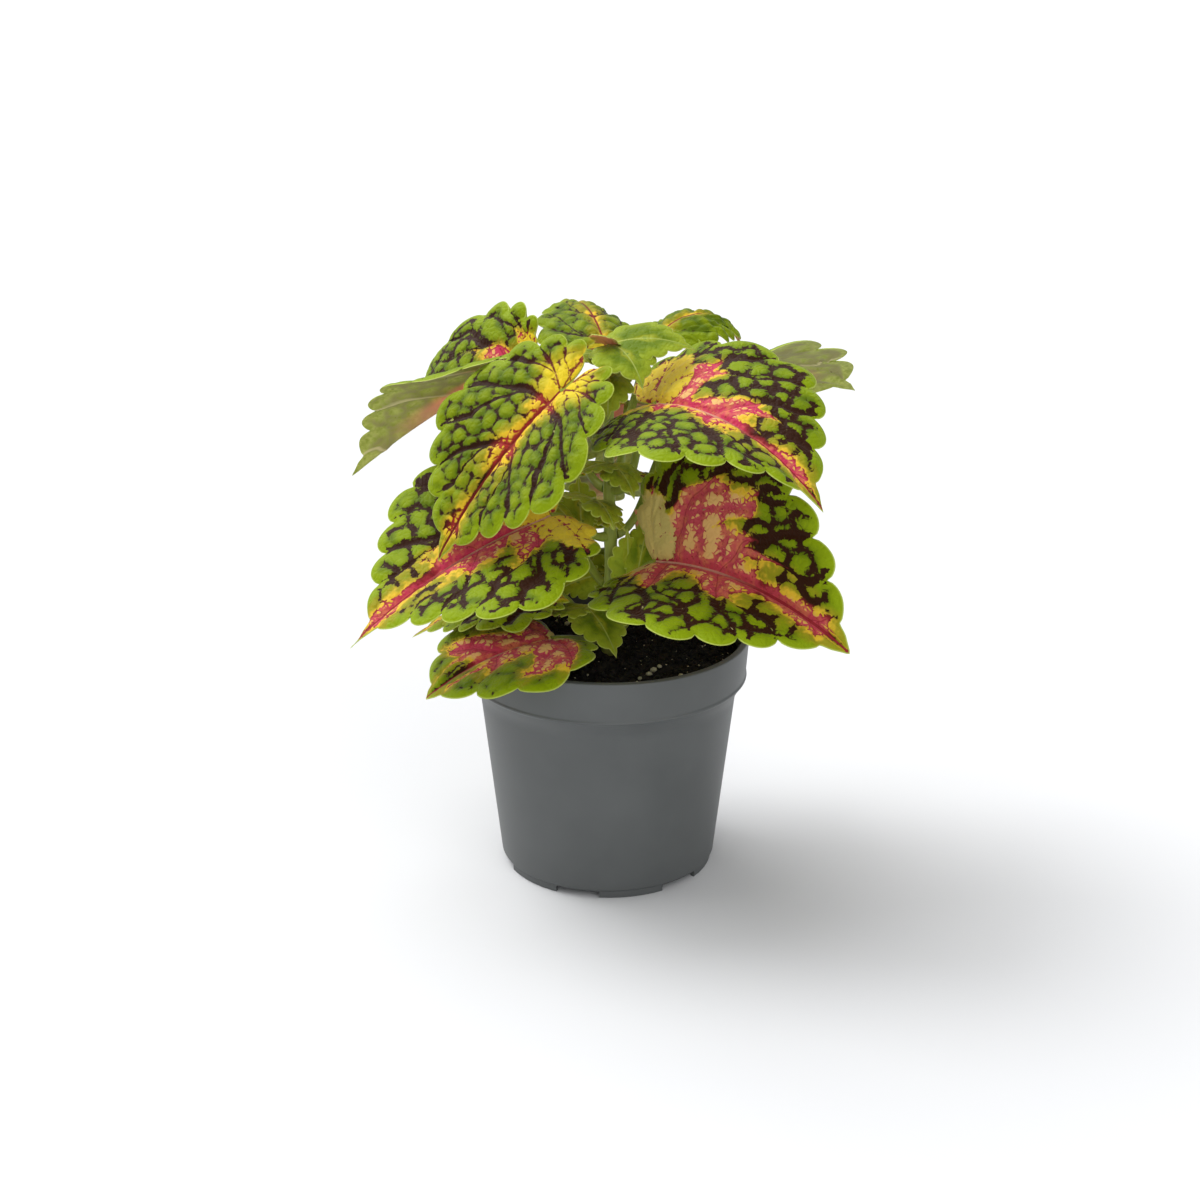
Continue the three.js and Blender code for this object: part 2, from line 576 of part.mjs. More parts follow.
const plant = new THREE.Group();
plant.add(makeStem(), ...LEAVES.map(makeLeaf), ...[TIP, ...SHOOTS].map(makeShoot));

const group = new THREE.Group();
group.add(holder, plant);

export default group;
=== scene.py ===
"""A young coleus in a moulded nursery pot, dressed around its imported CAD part.

Lengths in this file are millimetres and angles are degrees, unless a name says otherwise. Meshes are
turned to metres when they are made. +Z is up, and the origin is the middle of the underside of the pot.
"""

import itertools
import logging
import math
from collections.abc import Callable
from dataclasses import dataclass, field
from enum import Enum, IntEnum

import bpy
import numpy as np
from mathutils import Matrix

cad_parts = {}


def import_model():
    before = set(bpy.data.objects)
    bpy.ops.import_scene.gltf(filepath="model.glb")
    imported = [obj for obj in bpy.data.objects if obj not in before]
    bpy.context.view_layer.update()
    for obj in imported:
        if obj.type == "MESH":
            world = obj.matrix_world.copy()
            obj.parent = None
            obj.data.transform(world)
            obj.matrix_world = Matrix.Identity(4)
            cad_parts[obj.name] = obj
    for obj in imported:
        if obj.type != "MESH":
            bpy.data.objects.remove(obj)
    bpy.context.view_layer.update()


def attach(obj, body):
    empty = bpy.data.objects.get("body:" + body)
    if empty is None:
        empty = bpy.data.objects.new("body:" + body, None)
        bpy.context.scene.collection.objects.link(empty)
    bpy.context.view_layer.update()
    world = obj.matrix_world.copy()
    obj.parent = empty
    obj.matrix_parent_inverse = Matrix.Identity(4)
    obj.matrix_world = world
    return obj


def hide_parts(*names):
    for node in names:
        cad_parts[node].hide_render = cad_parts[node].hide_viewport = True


log = logging.getLogger("coleus")

MM = 0.001
TURN = 2 * math.pi


# ---------------------------------------------------------------- nodes and colours


def linear(colour: str) -> tuple[float, float, float, float]:
    """Turn an sRGB hex colour into linear RGBA.

    Args:
        colour: Six hex digits, with or without a leading #.

    Returns:
        Red, green, blue and alpha, from 0 to 1.
    """
    digits = colour.lstrip("#")
    parts = [int(digits[i : i + 2], 16) / 255 for i in (0, 2, 4)]
    r, g, b = [p / 12.92 if p <= 0.04045 else ((p + 0.055) / 1.055) ** 2.4 for p in parts]
    return (r, g, b, 1.0)


def per_size(size: float) -> float:
    """Find a pattern's scale, in repeats a metre, from the size of its features in millimetres."""
    return 1 / (size * MM)


def add_node(tree: bpy.types.NodeTree, kind: str, inputs: dict, **settings: object) -> bpy.types.Node:
    """Add one node with its settings, values and links.

    Args:
        tree: The node tree that gets the node.
        kind: Blender's name of the node type, without the leading ShaderNode.
        inputs: Values, hex colours or outputs by the name or the number of the input they go to.
        **settings: Properties of the node.

    Returns:
        The new node.
    """
    node = tree.nodes.new("ShaderNode" + kind)
    for name, value in settings.items():
        setattr(node, name, value)
    for key, value in inputs.items():
        if isinstance(value, Number):
            value = value.socket
        if isinstance(value, bpy.types.NodeSocket):
            tree.links.new(value, node.inputs[key])
        else:
            node.inputs[key].default_value = linear(value) if isinstance(value, str) else value
    return node


class Number:
    """A number that nodes work out at each place of a surface. Plain arithmetic joins it to others."""

    def __init__(self, socket: bpy.types.NodeSocket) -> None:
        """Keep the output that gives the number."""
        self.socket = socket

    def step(self, operation: str, *inputs: object) -> "Number":
        """Join numbers by one step of arithmetic."""
        tree = self.socket.id_data
        return Number(add_node(tree, "Math", dict(enumerate(inputs)), operation=operation).outputs[0])

    def __add__(self, other: object) -> "Number":
        """Add a number."""
        return self.step("ADD", self, other)

    def __sub__(self, other: object) -> "Number":
        """Take a number away."""
        return self.step("SUBTRACT", self, other)

    def __rsub__(self, other: float) -> "Number":
        """Take this number away from a plain one."""
        return self.step("SUBTRACT", other, self)

    def __mul__(self, other: object) -> "Number":
        """Multiply by a number."""
        return self.step("MULTIPLY", self, other)

    def at_least(self, other: object) -> "Number":
        """Take the larger of two numbers."""
        return self.step("MAXIMUM", self, other)

    def at_most(self, other: object) -> "Number":
        """Take the smaller of two numbers."""
        return self.step("MINIMUM", self, other)

    def off_whole(self) -> "Number":
        """Find how far the number is from the nearest whole one."""
        return self.step("PINGPONG", self, 0.5)

    def mask(self, low: float, high: float, most: float = 1.0, shape: str = "SMOOTHSTEP") -> "Number":
        """Turn the number into a share.

        Args:
            low: Where the share is 0. It may be the larger of the two.
            high: Where the share is at its most.
            most: The most that it comes to.
            shape: Blender's name of the course between them.

        Returns:
            The share.
        """
        inputs = {"Value": self, "From Min": low, "From Max": high, "To Max": most}
        return Number(add_node(self.socket.id_data, "MapRange", inputs, interpolation_type=shape).outputs[0])


def paint(tree: bpy.types.NodeTree, base: object, *layers: tuple) -> bpy.types.NodeSocket:
    """Lay colours over each other.

    Args:
        tree: The node tree of the material.
        base: The lowest colour, as a hex value or an output.
        *layers: Pairs of a colour and the share by which it covers what is under it.

    Returns:
        The finished colour.
    """
    for colour, share in layers:
        base = add_node(tree, "Mix", {0: share, 6: base, 7: colour}, data_type="RGBA").outputs[2]
    return base


def new_material(name: str) -> tuple[bpy.types.Material, bpy.types.NodeTree, bpy.types.NodeSocket]:
    """Make an empty node material.

    Args:
        name: Name of the material.

    Returns:
        The material, its node tree, and the place on the object, in metres, that its patterns follow.
    """
    material = bpy.data.materials.new(name)
    material.use_nodes = True
    tree = material.node_tree
    tree.nodes.clear()
    return material, tree, add_node(tree, "TexCoord", {}).outputs["Object"]


# ---------------------------------------------------------------- lines and meshes


def unit(vectors: np.ndarray) -> np.ndarray:
    """Scale vectors to length 1."""
    return vectors / np.maximum(np.linalg.norm(vectors, axis=-1, keepdims=True), 1e-9)


def heading_vector(angle: float) -> np.ndarray:
    """Level unit vector at a compass angle, 0 along +X and 90 along +Y."""
    return np.array([math.cos(math.radians(angle)), math.sin(math.radians(angle)), 0.0])


def smooth(low: float, high: float, values: np.ndarray) -> np.ndarray:
    """Ramp from 0 at low to 1 at high with soft ends."""
    t = np.clip((values - low) / (high - low), 0, 1)
    return t * t * (3 - 2 * t)


def off_whole(values: np.ndarray) -> np.ndarray:
    """Find how far numbers are from the nearest whole ones."""
    return np.abs((values + 0.5) % 1 - 0.5)


def distance_to_line(points: np.ndarray, line: np.ndarray) -> np.ndarray:
    """Find the shortest distance from flat points to a polyline.

    Args:
        points: Array of x, y places.
        line: Corners of the polyline in order.

    Returns:
        One distance for each point.
    """
    best = np.full(len(points), 1e9)
    for start, end in zip(line[:-1], line[1:]):
        step = end - start
        share = np.clip(((points - start) @ step) / max(step @ step, 1e-9), 0, 1)
        gap = np.linalg.norm(points - start - share[:, None] * step, axis=1)
        best = np.minimum(best, gap)
    return best


def cubic(a: object, b: object, c: object, d: object, count: int) -> np.ndarray:
    """Sample a cubic Bezier curve.

    Args:
        a: Its start.
        b: The control point that its start heads for.
        c: The control point that its end comes from.
        d: Its end.
        count: Number of samples.

    Returns:
        The samples in order.
    """
    a, b, c, d = (np.array(point, float) for point in (a, b, c, d))
    w = np.linspace(0, 1, count)[:, None]
    return (1 - w) ** 3 * a + 3 * (1 - w) ** 2 * w * b + 3 * (1 - w) * w**2 * c + w**3 * d


@dataclass
class Curve:
    """A line of places that is read by its share of length."""

    points: np.ndarray

    @classmethod
    def through(cls, knots: list, steps: int = 40) -> "Curve":
        """Run a centripetal spline through knots.

        Args:
            knots: Places that the line passes through.
            steps: Samples between two knots.

        Returns:
            The sampled line.
        """
        p = np.array(knots, float)
        p = np.vstack([2 * p[0] - p[1], p, 2 * p[-1] - p[-2]])
        samples = [p[1]]
        for i in range(1, len(p) - 2):
            x0, x1, x2, x3 = p[i - 1 : i + 3]
            d0, d1, d2 = [max(np.linalg.norm(b - a), 1e-6) ** 0.5 for a, b in ((x0, x1), (x1, x2), (x2, x3))]
            t1 = d1 * ((x1 - x0) / d0 - (x2 - x0) / (d0 + d1) + (x2 - x1) / d1)
            t2 = d1 * ((x2 - x1) / d1 - (x3 - x1) / (d1 + d2) + (x3 - x2) / d2)
            for w in np.arange(1, steps + 1) / steps:
                bend = (2 * x1 - 2 * x2 + t1 + t2) * w**3 + (-3 * x1 + 3 * x2 - 2 * t1 - t2) * w**2
                samples.append(bend + t1 * w + x1)
        return cls(np.array(samples))

    def at(self, shares: np.ndarray) -> np.ndarray:
        """Read the places at shares of the length, from 0 to 1."""
        lengths = np.concatenate([[0], np.cumsum(np.linalg.norm(np.diff(self.points, axis=0), axis=1))])
        where = np.asarray(shares, float) * lengths[-1]
        return np.stack([np.interp(where, lengths, column) for column in self.points.T], axis=-1)

    def place(self, share: float) -> np.ndarray:
        """Read one place at a share of the length."""
        return self.at(np.array([share]))[0]


def ring_faces(grid: np.ndarray) -> list[tuple]:
    """Join the rows of a closed ring into faces, by vertex numbers in rows along it."""
    after = np.roll(grid, -1, axis=1)
    return list(zip(grid[:-1].ravel(), after[:-1].ravel(), after[1:].ravel(), grid[1:].ravel()))


def fan_faces(centre: int, ring: np.ndarray) -> list[tuple]:
    """Close a ring of vertices by triangles round the vertex in its middle."""
    return [(centre, a, b) for a, b in zip(ring, np.roll(ring, -1))]


@dataclass
class Shell:
    """A mesh in the making: vertices in millimetres, faces with a material number, and surface values."""

    names: tuple[str, ...] = ()
    vertices: list = field(default_factory=list)
    faces: list = field(default_factory=list)
    slots: list = field(default_factory=list)
    values: dict = field(default_factory=dict)
    count: int = 0

    def add(
        self, points: np.ndarray, faces: list, slots: int | list[int], values: dict | None = None
    ) -> None:
        """Add vertices with the faces between them.

        Args:
            points: Places of the new vertices.
            faces: Corner numbers, counted from the first new vertex.
            slots: Material number of the faces, or one for each.
            values: Surface values by name, one for each new vertex; a missing one is 0.
        """
        self.vertices.append(np.asarray(points, float))
        self.faces.extend(tuple(int(corner) + self.count for corner in face) for face in faces)
        self.slots.extend(slots if isinstance(slots, list) else [slots] * len(faces))
        for name in self.names:
            row = np.broadcast_to((values or {}).get(name, 0.0), (len(points),))
            self.values.setdefault(name, []).append(row)
        self.count += len(points)

    def add_turned(self, rings: np.ndarray, low: float, high: float) -> None:
        """Add a closed body made of rings, each end with a vertex in its middle.

        Args:
            rings: Places by ring and by place round the ring.
            low: Height of the middle of the first ring.
            high: Height of the middle of the last ring.
        """
        count, sides = rings.shape[:2]
        grid = 1 + np.arange(count * sides).reshape(count, sides)
        faces = fan_faces(0, grid[0][::-1]) + ring_faces(grid) + fan_faces(1 + count * sides, grid[-1])
        self.add(np.vstack([[[0, 0, low]], rings.reshape(-1, 3), [[0, 0, high]]]), faces, 0)

    def build(self, name: str, materials: list, crease: float = 60) -> bpy.types.Object:
        """Make the Blender object, in metres.

        Args:
            name: Name of the piece.
            materials: Its materials, in the order of their numbers.
            crease: Edges that turn more than this stay sharp.

        Returns:
            The new object, linked to the scene.
        """
        mesh = bpy.data.meshes.new(name)
        mesh.from_pydata((np.vstack(self.vertices) * MM).tolist(), [], self.faces)
        mesh.polygons.foreach_set("material_index", np.array(self.slots, np.int32))
        mesh.polygons.foreach_set("use_smooth", np.ones(len(self.faces), bool))
        for key in self.names:
            attribute = mesh.attributes.new(key, "FLOAT", "POINT")
            attribute.data.foreach_set("value", np.concatenate(self.values[key]).astype(np.float32))
        for material in materials:
            mesh.materials.append(material)
        mesh.set_sharp_from_angle(angle=math.radians(crease))
        mesh.update()
        piece = bpy.data.objects.new(name, mesh)
        bpy.context.scene.collection.objects.link(piece)
        return piece

    def add_tube(
        self, curve: Curve, steps: int, sides: int, radius: Callable[[float, float], float], slot: int,
        values: dict | None = None,
    ) -> None:
        """Add a closed tube along a curve.

        Args:
            curve: Middle line of the tube.
            steps: Stretches along it.
            sides: Sides round it.
            radius: Function of the share of length and the angle round the tube that gives the radius.
            slot: Material number.
            values: Surface values that are the same all over it.
        """
        shares = np.linspace(0, 1, steps + 1)
        centres = curve.at(shares)
        tangents = unit(np.gradient(centres, axis=0))
        angles = np.linspace(0, TURN, sides, endpoint=False)
        # the first reference is level, so that angle 0 looks along +X on an upright tube
        side = np.array([1.0, 0.0, 0.0]) if abs(tangents[0][2]) > 0.5 else np.array([0.0, 0.0, 1.0])
        points = []
        for share, centre, tangent in zip(shares, centres, tangents):
            side = unit(side - (side @ tangent) * tangent)
            round_it = np.outer(np.cos(angles), side) + np.outer(np.sin(angles), np.cross(tangent, side))
            points.append(centre + np.array([[radius(share, angle)] for angle in angles]) * round_it)
        grid = np.arange((steps + 1) * sides).reshape(steps + 1, sides)
        faces = ring_faces(grid) + [tuple(grid[0][::-1]), tuple(grid[-1])]
        self.add(np.vstack(points), faces, slot, values)


# ---------------------------------------------------------------- finishes


class LeafAge(Enum):
    """How far a leaf has grown. The value is the mean length of a field between its veins."""

    MATURE = 10.0
    YOUNG = 7.2
    SMALL = 4.0


# surface values of a blade. main and fork count along the side veins and their forks: each is a whole number
# on a vein. gap_mm is the distance between two notches' veins. The rest are distances in millimetres: from
# the midrib, the edge and the borders of the fields between the veins, how far inside the coloured middle,
# its strip and the heart a place is, and how wide the dark net is there. brick and cream are shares of the
# leaf's own tints
LEAF_VALUES = ("main", "fork", "gap_mm", "rib_mm", "rim_mm", "cell_mm", "core_mm", "strip_mm", "heart_mm",
               "net_mm", "brick", "cream")
# share of the light that a blade lets through
LEAF_GLOW = 0.2


def surface_values(tree: bpy.types.NodeTree, names: tuple[str, ...]) -> dict[str, Number]:
    """Read surface values of a blade.

    Args:
        tree: The node tree of the material.
        names: Names of the values.

    Returns:
        The values by name.
    """
    values = {}
    for name in names:
        node = add_node(tree, "Attribute", {}, attribute_type="GEOMETRY", attribute_name=name)
        values[name] = Number(node.outputs["Fac"])
    return values


@dataclass(frozen=True)
class LeafFinish:
    """Living leaf tissue, grown quilted between its veins under a soft, faintly waxy skin.

    The eye sees matt puffs whose tops are painted paler, as a painted highlight, a dark net in the valleys
    along the veins, and a little light through the blade.

    green to olive: the islands between the veins, on the blade, its puffs (a paler green in random patches
    and as a painted highlight on the puff tops), its teeth and towards the middle
    edge: the thin pale rim of the teeth
    midrib, midrib_mm: colour and half-width of the midrib
    fringe, fringe_pale: the islands round and in the coloured middle
    dark: the net outside the coloured middle
    core, core_pale, core_deep, brick: the net in the coloured middle, its tints and its border
    heart, heart_pale: the field near the base, and what it turns to with the leaf's share of cream
    fringe_mm, olive_mm: widths of the yellow and of the olive round the middle
    ragged: how far the borders of the colours wander
    recess: how far the middle draws back between the veins
    core_net, heart_net: half-widths of the net in the middle and in the heart
    cross_share, band_share: width of the net between the veins and along the midrib, as shares
    heart_rays, heart_fade: how far the heart follows the veins, and how softly it ends
    fork_mm: how much narrower the net is on the forks
    fringe_gap: how much narrower the net is in the fringe
    """

    name: str
    age: LeafAge
    green: str
    # paler green: random mottling, and a painted highlight on the tops of the puffs
    green_pale_and_puff_highlight: str
    lime: str
    edge: str
    dark: str
    core: str
    core_pale: str
    core_deep: str
    brick: str
    olive: str
    fringe: str
    fringe_pale: str
    heart: str
    heart_pale: str
    midrib: str
    fringe_mm: float
    ragged: float
    recess: float
    core_net: float
    midrib_mm: float
    cross_share: float = 0.8
    band_share: float = 0.42
    heart_net: float = 0.0
    heart_rays: float = 0.4
    fork_mm: float = 0.6
    fringe_gap: float = 1.6
    olive_mm: float = 8.0
    heart_fade: float = 1.5

    def material(self) -> bpy.types.Material:
        """Build the material of the upper side.

        Returns:
            The material, which reads the surface values of the blade.
        """
        material, tree, place = new_material(self.name)
        value = surface_values(tree, LEAF_VALUES)
        # 3 mm and 1.3 mm wander for ragged borders, 8 mm for slow changes, 0.3 mm for skin cells and hairs
        noises = [
            add_node(tree, "TexNoise", {"Vector": place, "Scale": per_size(size), "Detail": detail})
            for size, detail in ((3.0303, 1.0), (1.28205, 1.5), (8.3333, 1.0), (0.285714, 2.0))
        ]
        coarse, fine, slow, grain = [Number(noise.outputs[0]) for noise in noises]
        wander = (coarse - 0.5) * (4.4 * self.ragged) + (fine - 0.5) * (1.8 * self.ragged)
        # the finest net of veins has meshes of 2.9 mm
        mesh = add_node(tree, "TexVoronoi", {"Vector": place, "Scale": per_size(2.85714)},
                        feature="DISTANCE_TO_EDGE")
        mesh = Number(mesh.outputs["Distance"])
        spacing = value["gap_mm"] * 2.0
        main, fork = value["main"].off_whole() * spacing, value["fork"].off_whole() * spacing
        vein = main.at_most(fork + self.fork_mm)
        cell, rib, rim = value["cell_mm"], value["rib_mm"], value["rim_mm"]

        # how far inside the coloured middle a place is; the middle runs out along the veins
        inside = value["core_mm"] - vein * self.recess + wander * 1.2
        inside = inside.at_least(value["strip_mm"] - vein * 0.5 + wander * 0.7)
        heart = value["heart_mm"] + wander * 2.0 - vein * self.heart_rays
        heart = heart.mask(-self.heart_fade, self.heart_fade)

        # islands between the veins: green, paler in random patches and on the puffs, where the paler green
        # is a painted highlight, lime on the teeth, and from yellow to cream towards the coloured middle
        fringe = inside + (coarse - 0.2) * self.fringe_mm
        island = paint(
            tree, self.green,
            (self.green_pale_and_puff_highlight, (slow * 0.9 + cell * 0.16).mask(0.35, 1.05)),
            (self.lime, (rim + wander).mask(6.5, 1.0)),
            (self.olive, fringe.mask(-self.olive_mm, -1.0, 0.9)),
            (self.fringe, fringe.mask(-2.0, 0.8)),
            (self.fringe_pale, (inside + wander).mask(0.0, 4.0)),
            (paint(tree, self.heart, (self.heart_pale, value["cream"])), heart),
        )

        # the width of the net between them: dark outside, and in the middle so wide that it leaves small
        # islands; round the middle it thins out, so that a yellow fringe shows
        outer = value["net_mm"] * (slow * 1.4 + 0.3)
        inner = (value["core_mm"] * 0.05).at_least(0.0) + self.core_net + value["brick"]
        inner = inner + mesh.mask(0.18, 0.05) * 1.6
        width = outer + (inner - outer) * inside.mask(-1.5, 0.5)
        width = width - inside.mask(-4.5, -2.0) * inside.mask(0.4, -1.0) * self.fringe_gap
        width = width + (self.heart_net - value["cream"] * 0.8 - width) * heart
        band = (value["strip_mm"] + rib) * self.band_share - heart * 3.0 - rib
        net = (width - vein).at_least(width * self.cross_share - cell).at_least(band)
        net = net + mesh.mask(0.16, 0.0) * (0.6 * self.ragged) + wander * 0.7

        # the colours of the net: maroon, and red in the coloured middle
        middle = paint(
            tree, self.core,
            (self.core_pale, (slow + coarse).mask(0.9, 1.3)),
            (self.brick, value["brick"]),
            (self.core_deep, fine.mask(0.52, 0.85)),
        )
        ground = paint(
            tree, self.dark,
            (self.core_deep, inside.mask(-3.0, 0.2)),
            (middle, inside.mask(-0.4, 1.2)),
            (self.core_deep, heart * 0.85),
        )

        # fine veins, midrib and the thin pale rim of the teeth lie over both
        thread = vein.mask(0.38, 0.1) * inside.mask(-0.5, 0.5) * (1.0 - heart) * 0.6
        colour = paint(
            tree, island,
            (ground, net.mask(-0.35, 0.35)),
            (self.core_deep, thread),
            (paint(tree, self.core_deep, (self.midrib, value["heart_mm"].mask(-50.0, -5.0))),
             rib.mask(self.midrib_mm, 0.5 * self.midrib_mm)),
            (self.edge, rim.mask(0.55, 0.15)),
        )

        height = grain * 0.4 + mesh.mask(0.0, 0.3) * 0.6
        bump = add_node(tree, "Bump", {"Height": height, "Strength": 0.6, "Distance": 0.5 * MM}).outputs[0]
        skin = add_node(tree, "BsdfPrincipled", {
            "Base Color": colour, "Roughness": grain * 0.16 + 0.42, "IOR": 1.42, "Normal": bump,
            "Specular IOR Level": 0.16, "Sheen Weight": 0.1, "Sheen Roughness": 0.4})
        glow = add_node(tree, "BsdfTranslucent", {"Color": colour, "Normal": bump})
        leaf = add_node(tree, "MixShader", {0: LEAF_GLOW, 1: skin.outputs[0], 2: glow.outputs[0]})
        add_node(tree, "OutputMaterial", {"Surface": leaf.outputs[0]})
        return material


@dataclass(frozen=True)
class UndersideFinish:
    """The matt underside of a leaf: yellow green, dull where the dark net of the upper side shows through.

    The eye sees pale veins that stand out, and a peach-coloured midrib.
    """

    name: str = "leaf_underside_living_tissue"
    pale: str = "#c4ca68"
    green: str = "#9aa63c"
    dull: str = "#948a58"
    vein: str = "#dcd49a"
    peach: str = "#ffa282"

    def material(self) -> bpy.types.Material:
        """Build the material of the underside.

        Returns:
            The material, which reads the surface values of the blade.
        """
        material, tree, place = new_material(self.name)
        value = surface_values(tree, ("main", "gap_mm", "rib_mm", "cell_mm", "net_mm", "heart_mm"))
        # the tissue changes over some 2 mm
        noise = add_node(tree, "TexNoise", {"Vector": place, "Scale": per_size(2.0), "Detail": 3.0})
        noise = Number(noise.outputs[0])
        vein = value["main"].off_whole() * (value["gap_mm"] * 2.0)
        through = value["net_mm"] - vein.at_most(value["cell_mm"]) + (noise - 0.5) * 4.0
        heart = value["heart_mm"]
        on_vein = vein.mask(0.8, 0.3, 0.6, "LINEAR") * heart.mask(-30.0, -10.0, shape="LINEAR")
        on_midrib = value["rib_mm"].mask(7.5, 3.0, 0.95, "LINEAR") * heart.mask(-70.0, -35.0, shape="LINEAR")
        colour = paint(
            tree, self.green,
            (self.pale, noise.mask(0.3, 0.7, shape="LINEAR")),
            (self.dull, through.mask(-1.2, 0.8, 0.75, "LINEAR")),
            (self.vein, vein.mask(0.9, 0.3, 0.75, "LINEAR")),
            (self.peach, on_vein),
            (self.peach, on_midrib),
        )
        bump = add_node(tree, "Bump", {"Height": noise, "Strength": 0.3, "Distance": 0.3 * MM})
        skin = add_node(tree, "BsdfPrincipled", {
            "Base Color": colour, "Roughness": 0.62, "IOR": 1.4, "Normal": bump.outputs[0]})
        glow = add_node(tree, "BsdfTranslucent", {"Color": colour})
        leaf = add_node(tree, "MixShader", {0: LEAF_GLOW, 1: skin.outputs[0], 2: glow.outputs[0]})
        add_node(tree, "OutputMaterial", {"Surface": leaf.outputs[0]})
        return material


@dataclass(frozen=True)
class StemFinish:
    """Living stem and leaf stalks: juicy pale green skin with long fibres under it and a satin wax."""

    name: str = "stem_living_green"
    pale: str = "#9aa844"
    green: str = "#72852a"
    foot: str = "#6f6a34"
    foot_heights: tuple[float, float] = (112.0, 92.0)

    def material(self) -> bpy.types.Material:
        """Build the material of the stem and the stalks.

        Returns:
            The material, brownish near the foot of the stem.
        """
        material, tree, place = new_material(self.name)
        # fibres are 0.8 mm apart and some 8 mm long, along the stem
        across, along = per_size(0.83333), per_size(8.3333)
        mapped = add_node(tree, "Mapping", {"Vector": place, "Scale": (across, across, along)}).outputs[0]
        fibre = add_node(tree, "TexNoise", {"Vector": mapped, "Scale": 1.0, "Detail": 3.0}).outputs[0]
        height = Number(add_node(tree, "SeparateXYZ", {0: place}).outputs["Z"])
        upper, lower = (h * MM for h in self.foot_heights)
        low = height.mask(upper, lower, 0.8, "LINEAR")
        colour = paint(tree, self.green, (self.pale, fibre), (self.foot, low))
        bump = add_node(tree, "Bump", {"Height": fibre, "Strength": 0.3, "Distance": 0.3 * MM})
        skin = add_node(tree, "BsdfPrincipled", {
            "Base Color": colour, "Roughness": 0.45, "IOR": 1.4, "Normal": bump.outputs[0],
            "Subsurface Weight": 0.06, "Subsurface Radius": (0.002, 0.003, 0.0008), "Subsurface Scale": 1.0})
        add_node(tree, "OutputMaterial", {"Surface": skin.outputs[0]})
        return material


@dataclass(frozen=True)
class PotFinish:
    """Injection-moulded polypropylene with a satin texture: an even grey with a soft broad highlight."""

    name: str = "polypropylene_moulded_grey"
    grey: str = "#4f5252"
    worn: str = "#5e6161"

    def material(self) -> bpy.types.Material:
        """Build the material of the pot.

        Returns:
            The material.
        """
        material, tree, place = new_material(self.name)
        # moulded grain of 0.4 mm, and clouds of 30 mm where dust and handling change the satin
        noises = [
            add_node(tree, "TexNoise", {"Vector": place, "Scale": per_size(size), "Detail": detail})
            for size, detail in ((0.416667, 2.0), (29.4118, 4.0))
        ]
        grain, cloud = [Number(noise.outputs[0]) for noise in noises]
        colour = paint(tree, self.grey, (self.worn, cloud.mask(0.35, 0.75, 0.5, "LINEAR")))
        bump = add_node(tree, "Bump", {"Height": grain, "Strength": 0.12, "Distance": 0.2 * MM})
        skin = add_node(tree, "BsdfPrincipled", {
            "Base Color": colour, "Roughness": cloud * 0.18 + 0.4, "IOR": 1.49, "Normal": bump.outputs[0]})
        add_node(tree, "OutputMaterial", {"Surface": skin.outputs[0]})
        return material


@dataclass(frozen=True)
class MixFinish:
    """Damp peat-based potting mix: near-black crumbs with brown fibres and no gloss but a damp glint."""

    name: str = "potting_mix_damp_peat"
    black: str = "#0e0d0b"
    brown: str = "#2c241a"

    def material(self) -> bpy.types.Material:
        """Build the material of the mix and its crumbs.

        Returns:
            The material.
        """
        material, tree, place = new_material(self.name)
        # crumbs of some 2 mm
        crumb = add_node(tree, "TexNoise", {"Vector": place, "Scale": per_size(1.92308), "Detail": 5.0})
        crumb = Number(crumb.outputs[0])
        colour = paint(tree, self.black, (self.brown, crumb.mask(0.5, 0.75, shape="LINEAR")))
        bump = add_node(tree, "Bump", {"Height": crumb, "Strength": 0.8, "Distance": 1.2 * MM})
        skin = add_node(tree, "BsdfPrincipled", {
            "Base Color": colour, "Roughness": 0.88, "IOR": 1.4, "Normal": bump.outputs[0]})
        add_node(tree, "OutputMaterial", {"Surface": skin.outputs[0]})
        return material


@dataclass(frozen=True)
class GrainFinish:
    """Mineral grains in the mix, such as perlite: dull, rough and off-white, stained by the damp peat."""

    name: str = "perlite_expanded_grain"
    pale: str = "#d9d5c0"
    stain: str = "#8f8a62"

    def material(self) -> bpy.types.Material:
        """Build the material of the grains.

        Returns:
            The material.
        """
        material, tree, place = new_material(self.name)
        # stains of some 1 mm
        stain = add_node(tree, "TexNoise", {"Vector": place, "Scale": per_size(1.11111), "Detail": 3.0})
        colour = paint(tree, self.stain, (self.pale, stain.outputs[0]))
        skin = add_node(tree, "BsdfPrincipled", {"Base Color": colour, "Roughness": 0.9, "IOR": 1.5})
        add_node(tree, "OutputMaterial", {"Surface": skin.outputs[0]})
        return material


@dataclass(frozen=True)
class FloorFinish:
    """Matt pale studio paper, laid seamless: no gloss, so that only the soft shadow shows."""

    name: str = "paper_matt_pale"
    pale: str = "#dadbdd"

    def material(self) -> bpy.types.Material:
        """Build the material of the floor.

        Returns:
            The material, the same all over.
        """
        material, tree, _ = new_material(self.name)
        skin = add_node(tree, "BsdfPrincipled", {
            "Base Color": self.pale, "Roughness": 1.0, "Specular IOR Level": 0.0})
        add_node(tree, "OutputMaterial", {"Surface": skin.outputs[0]})
        return material


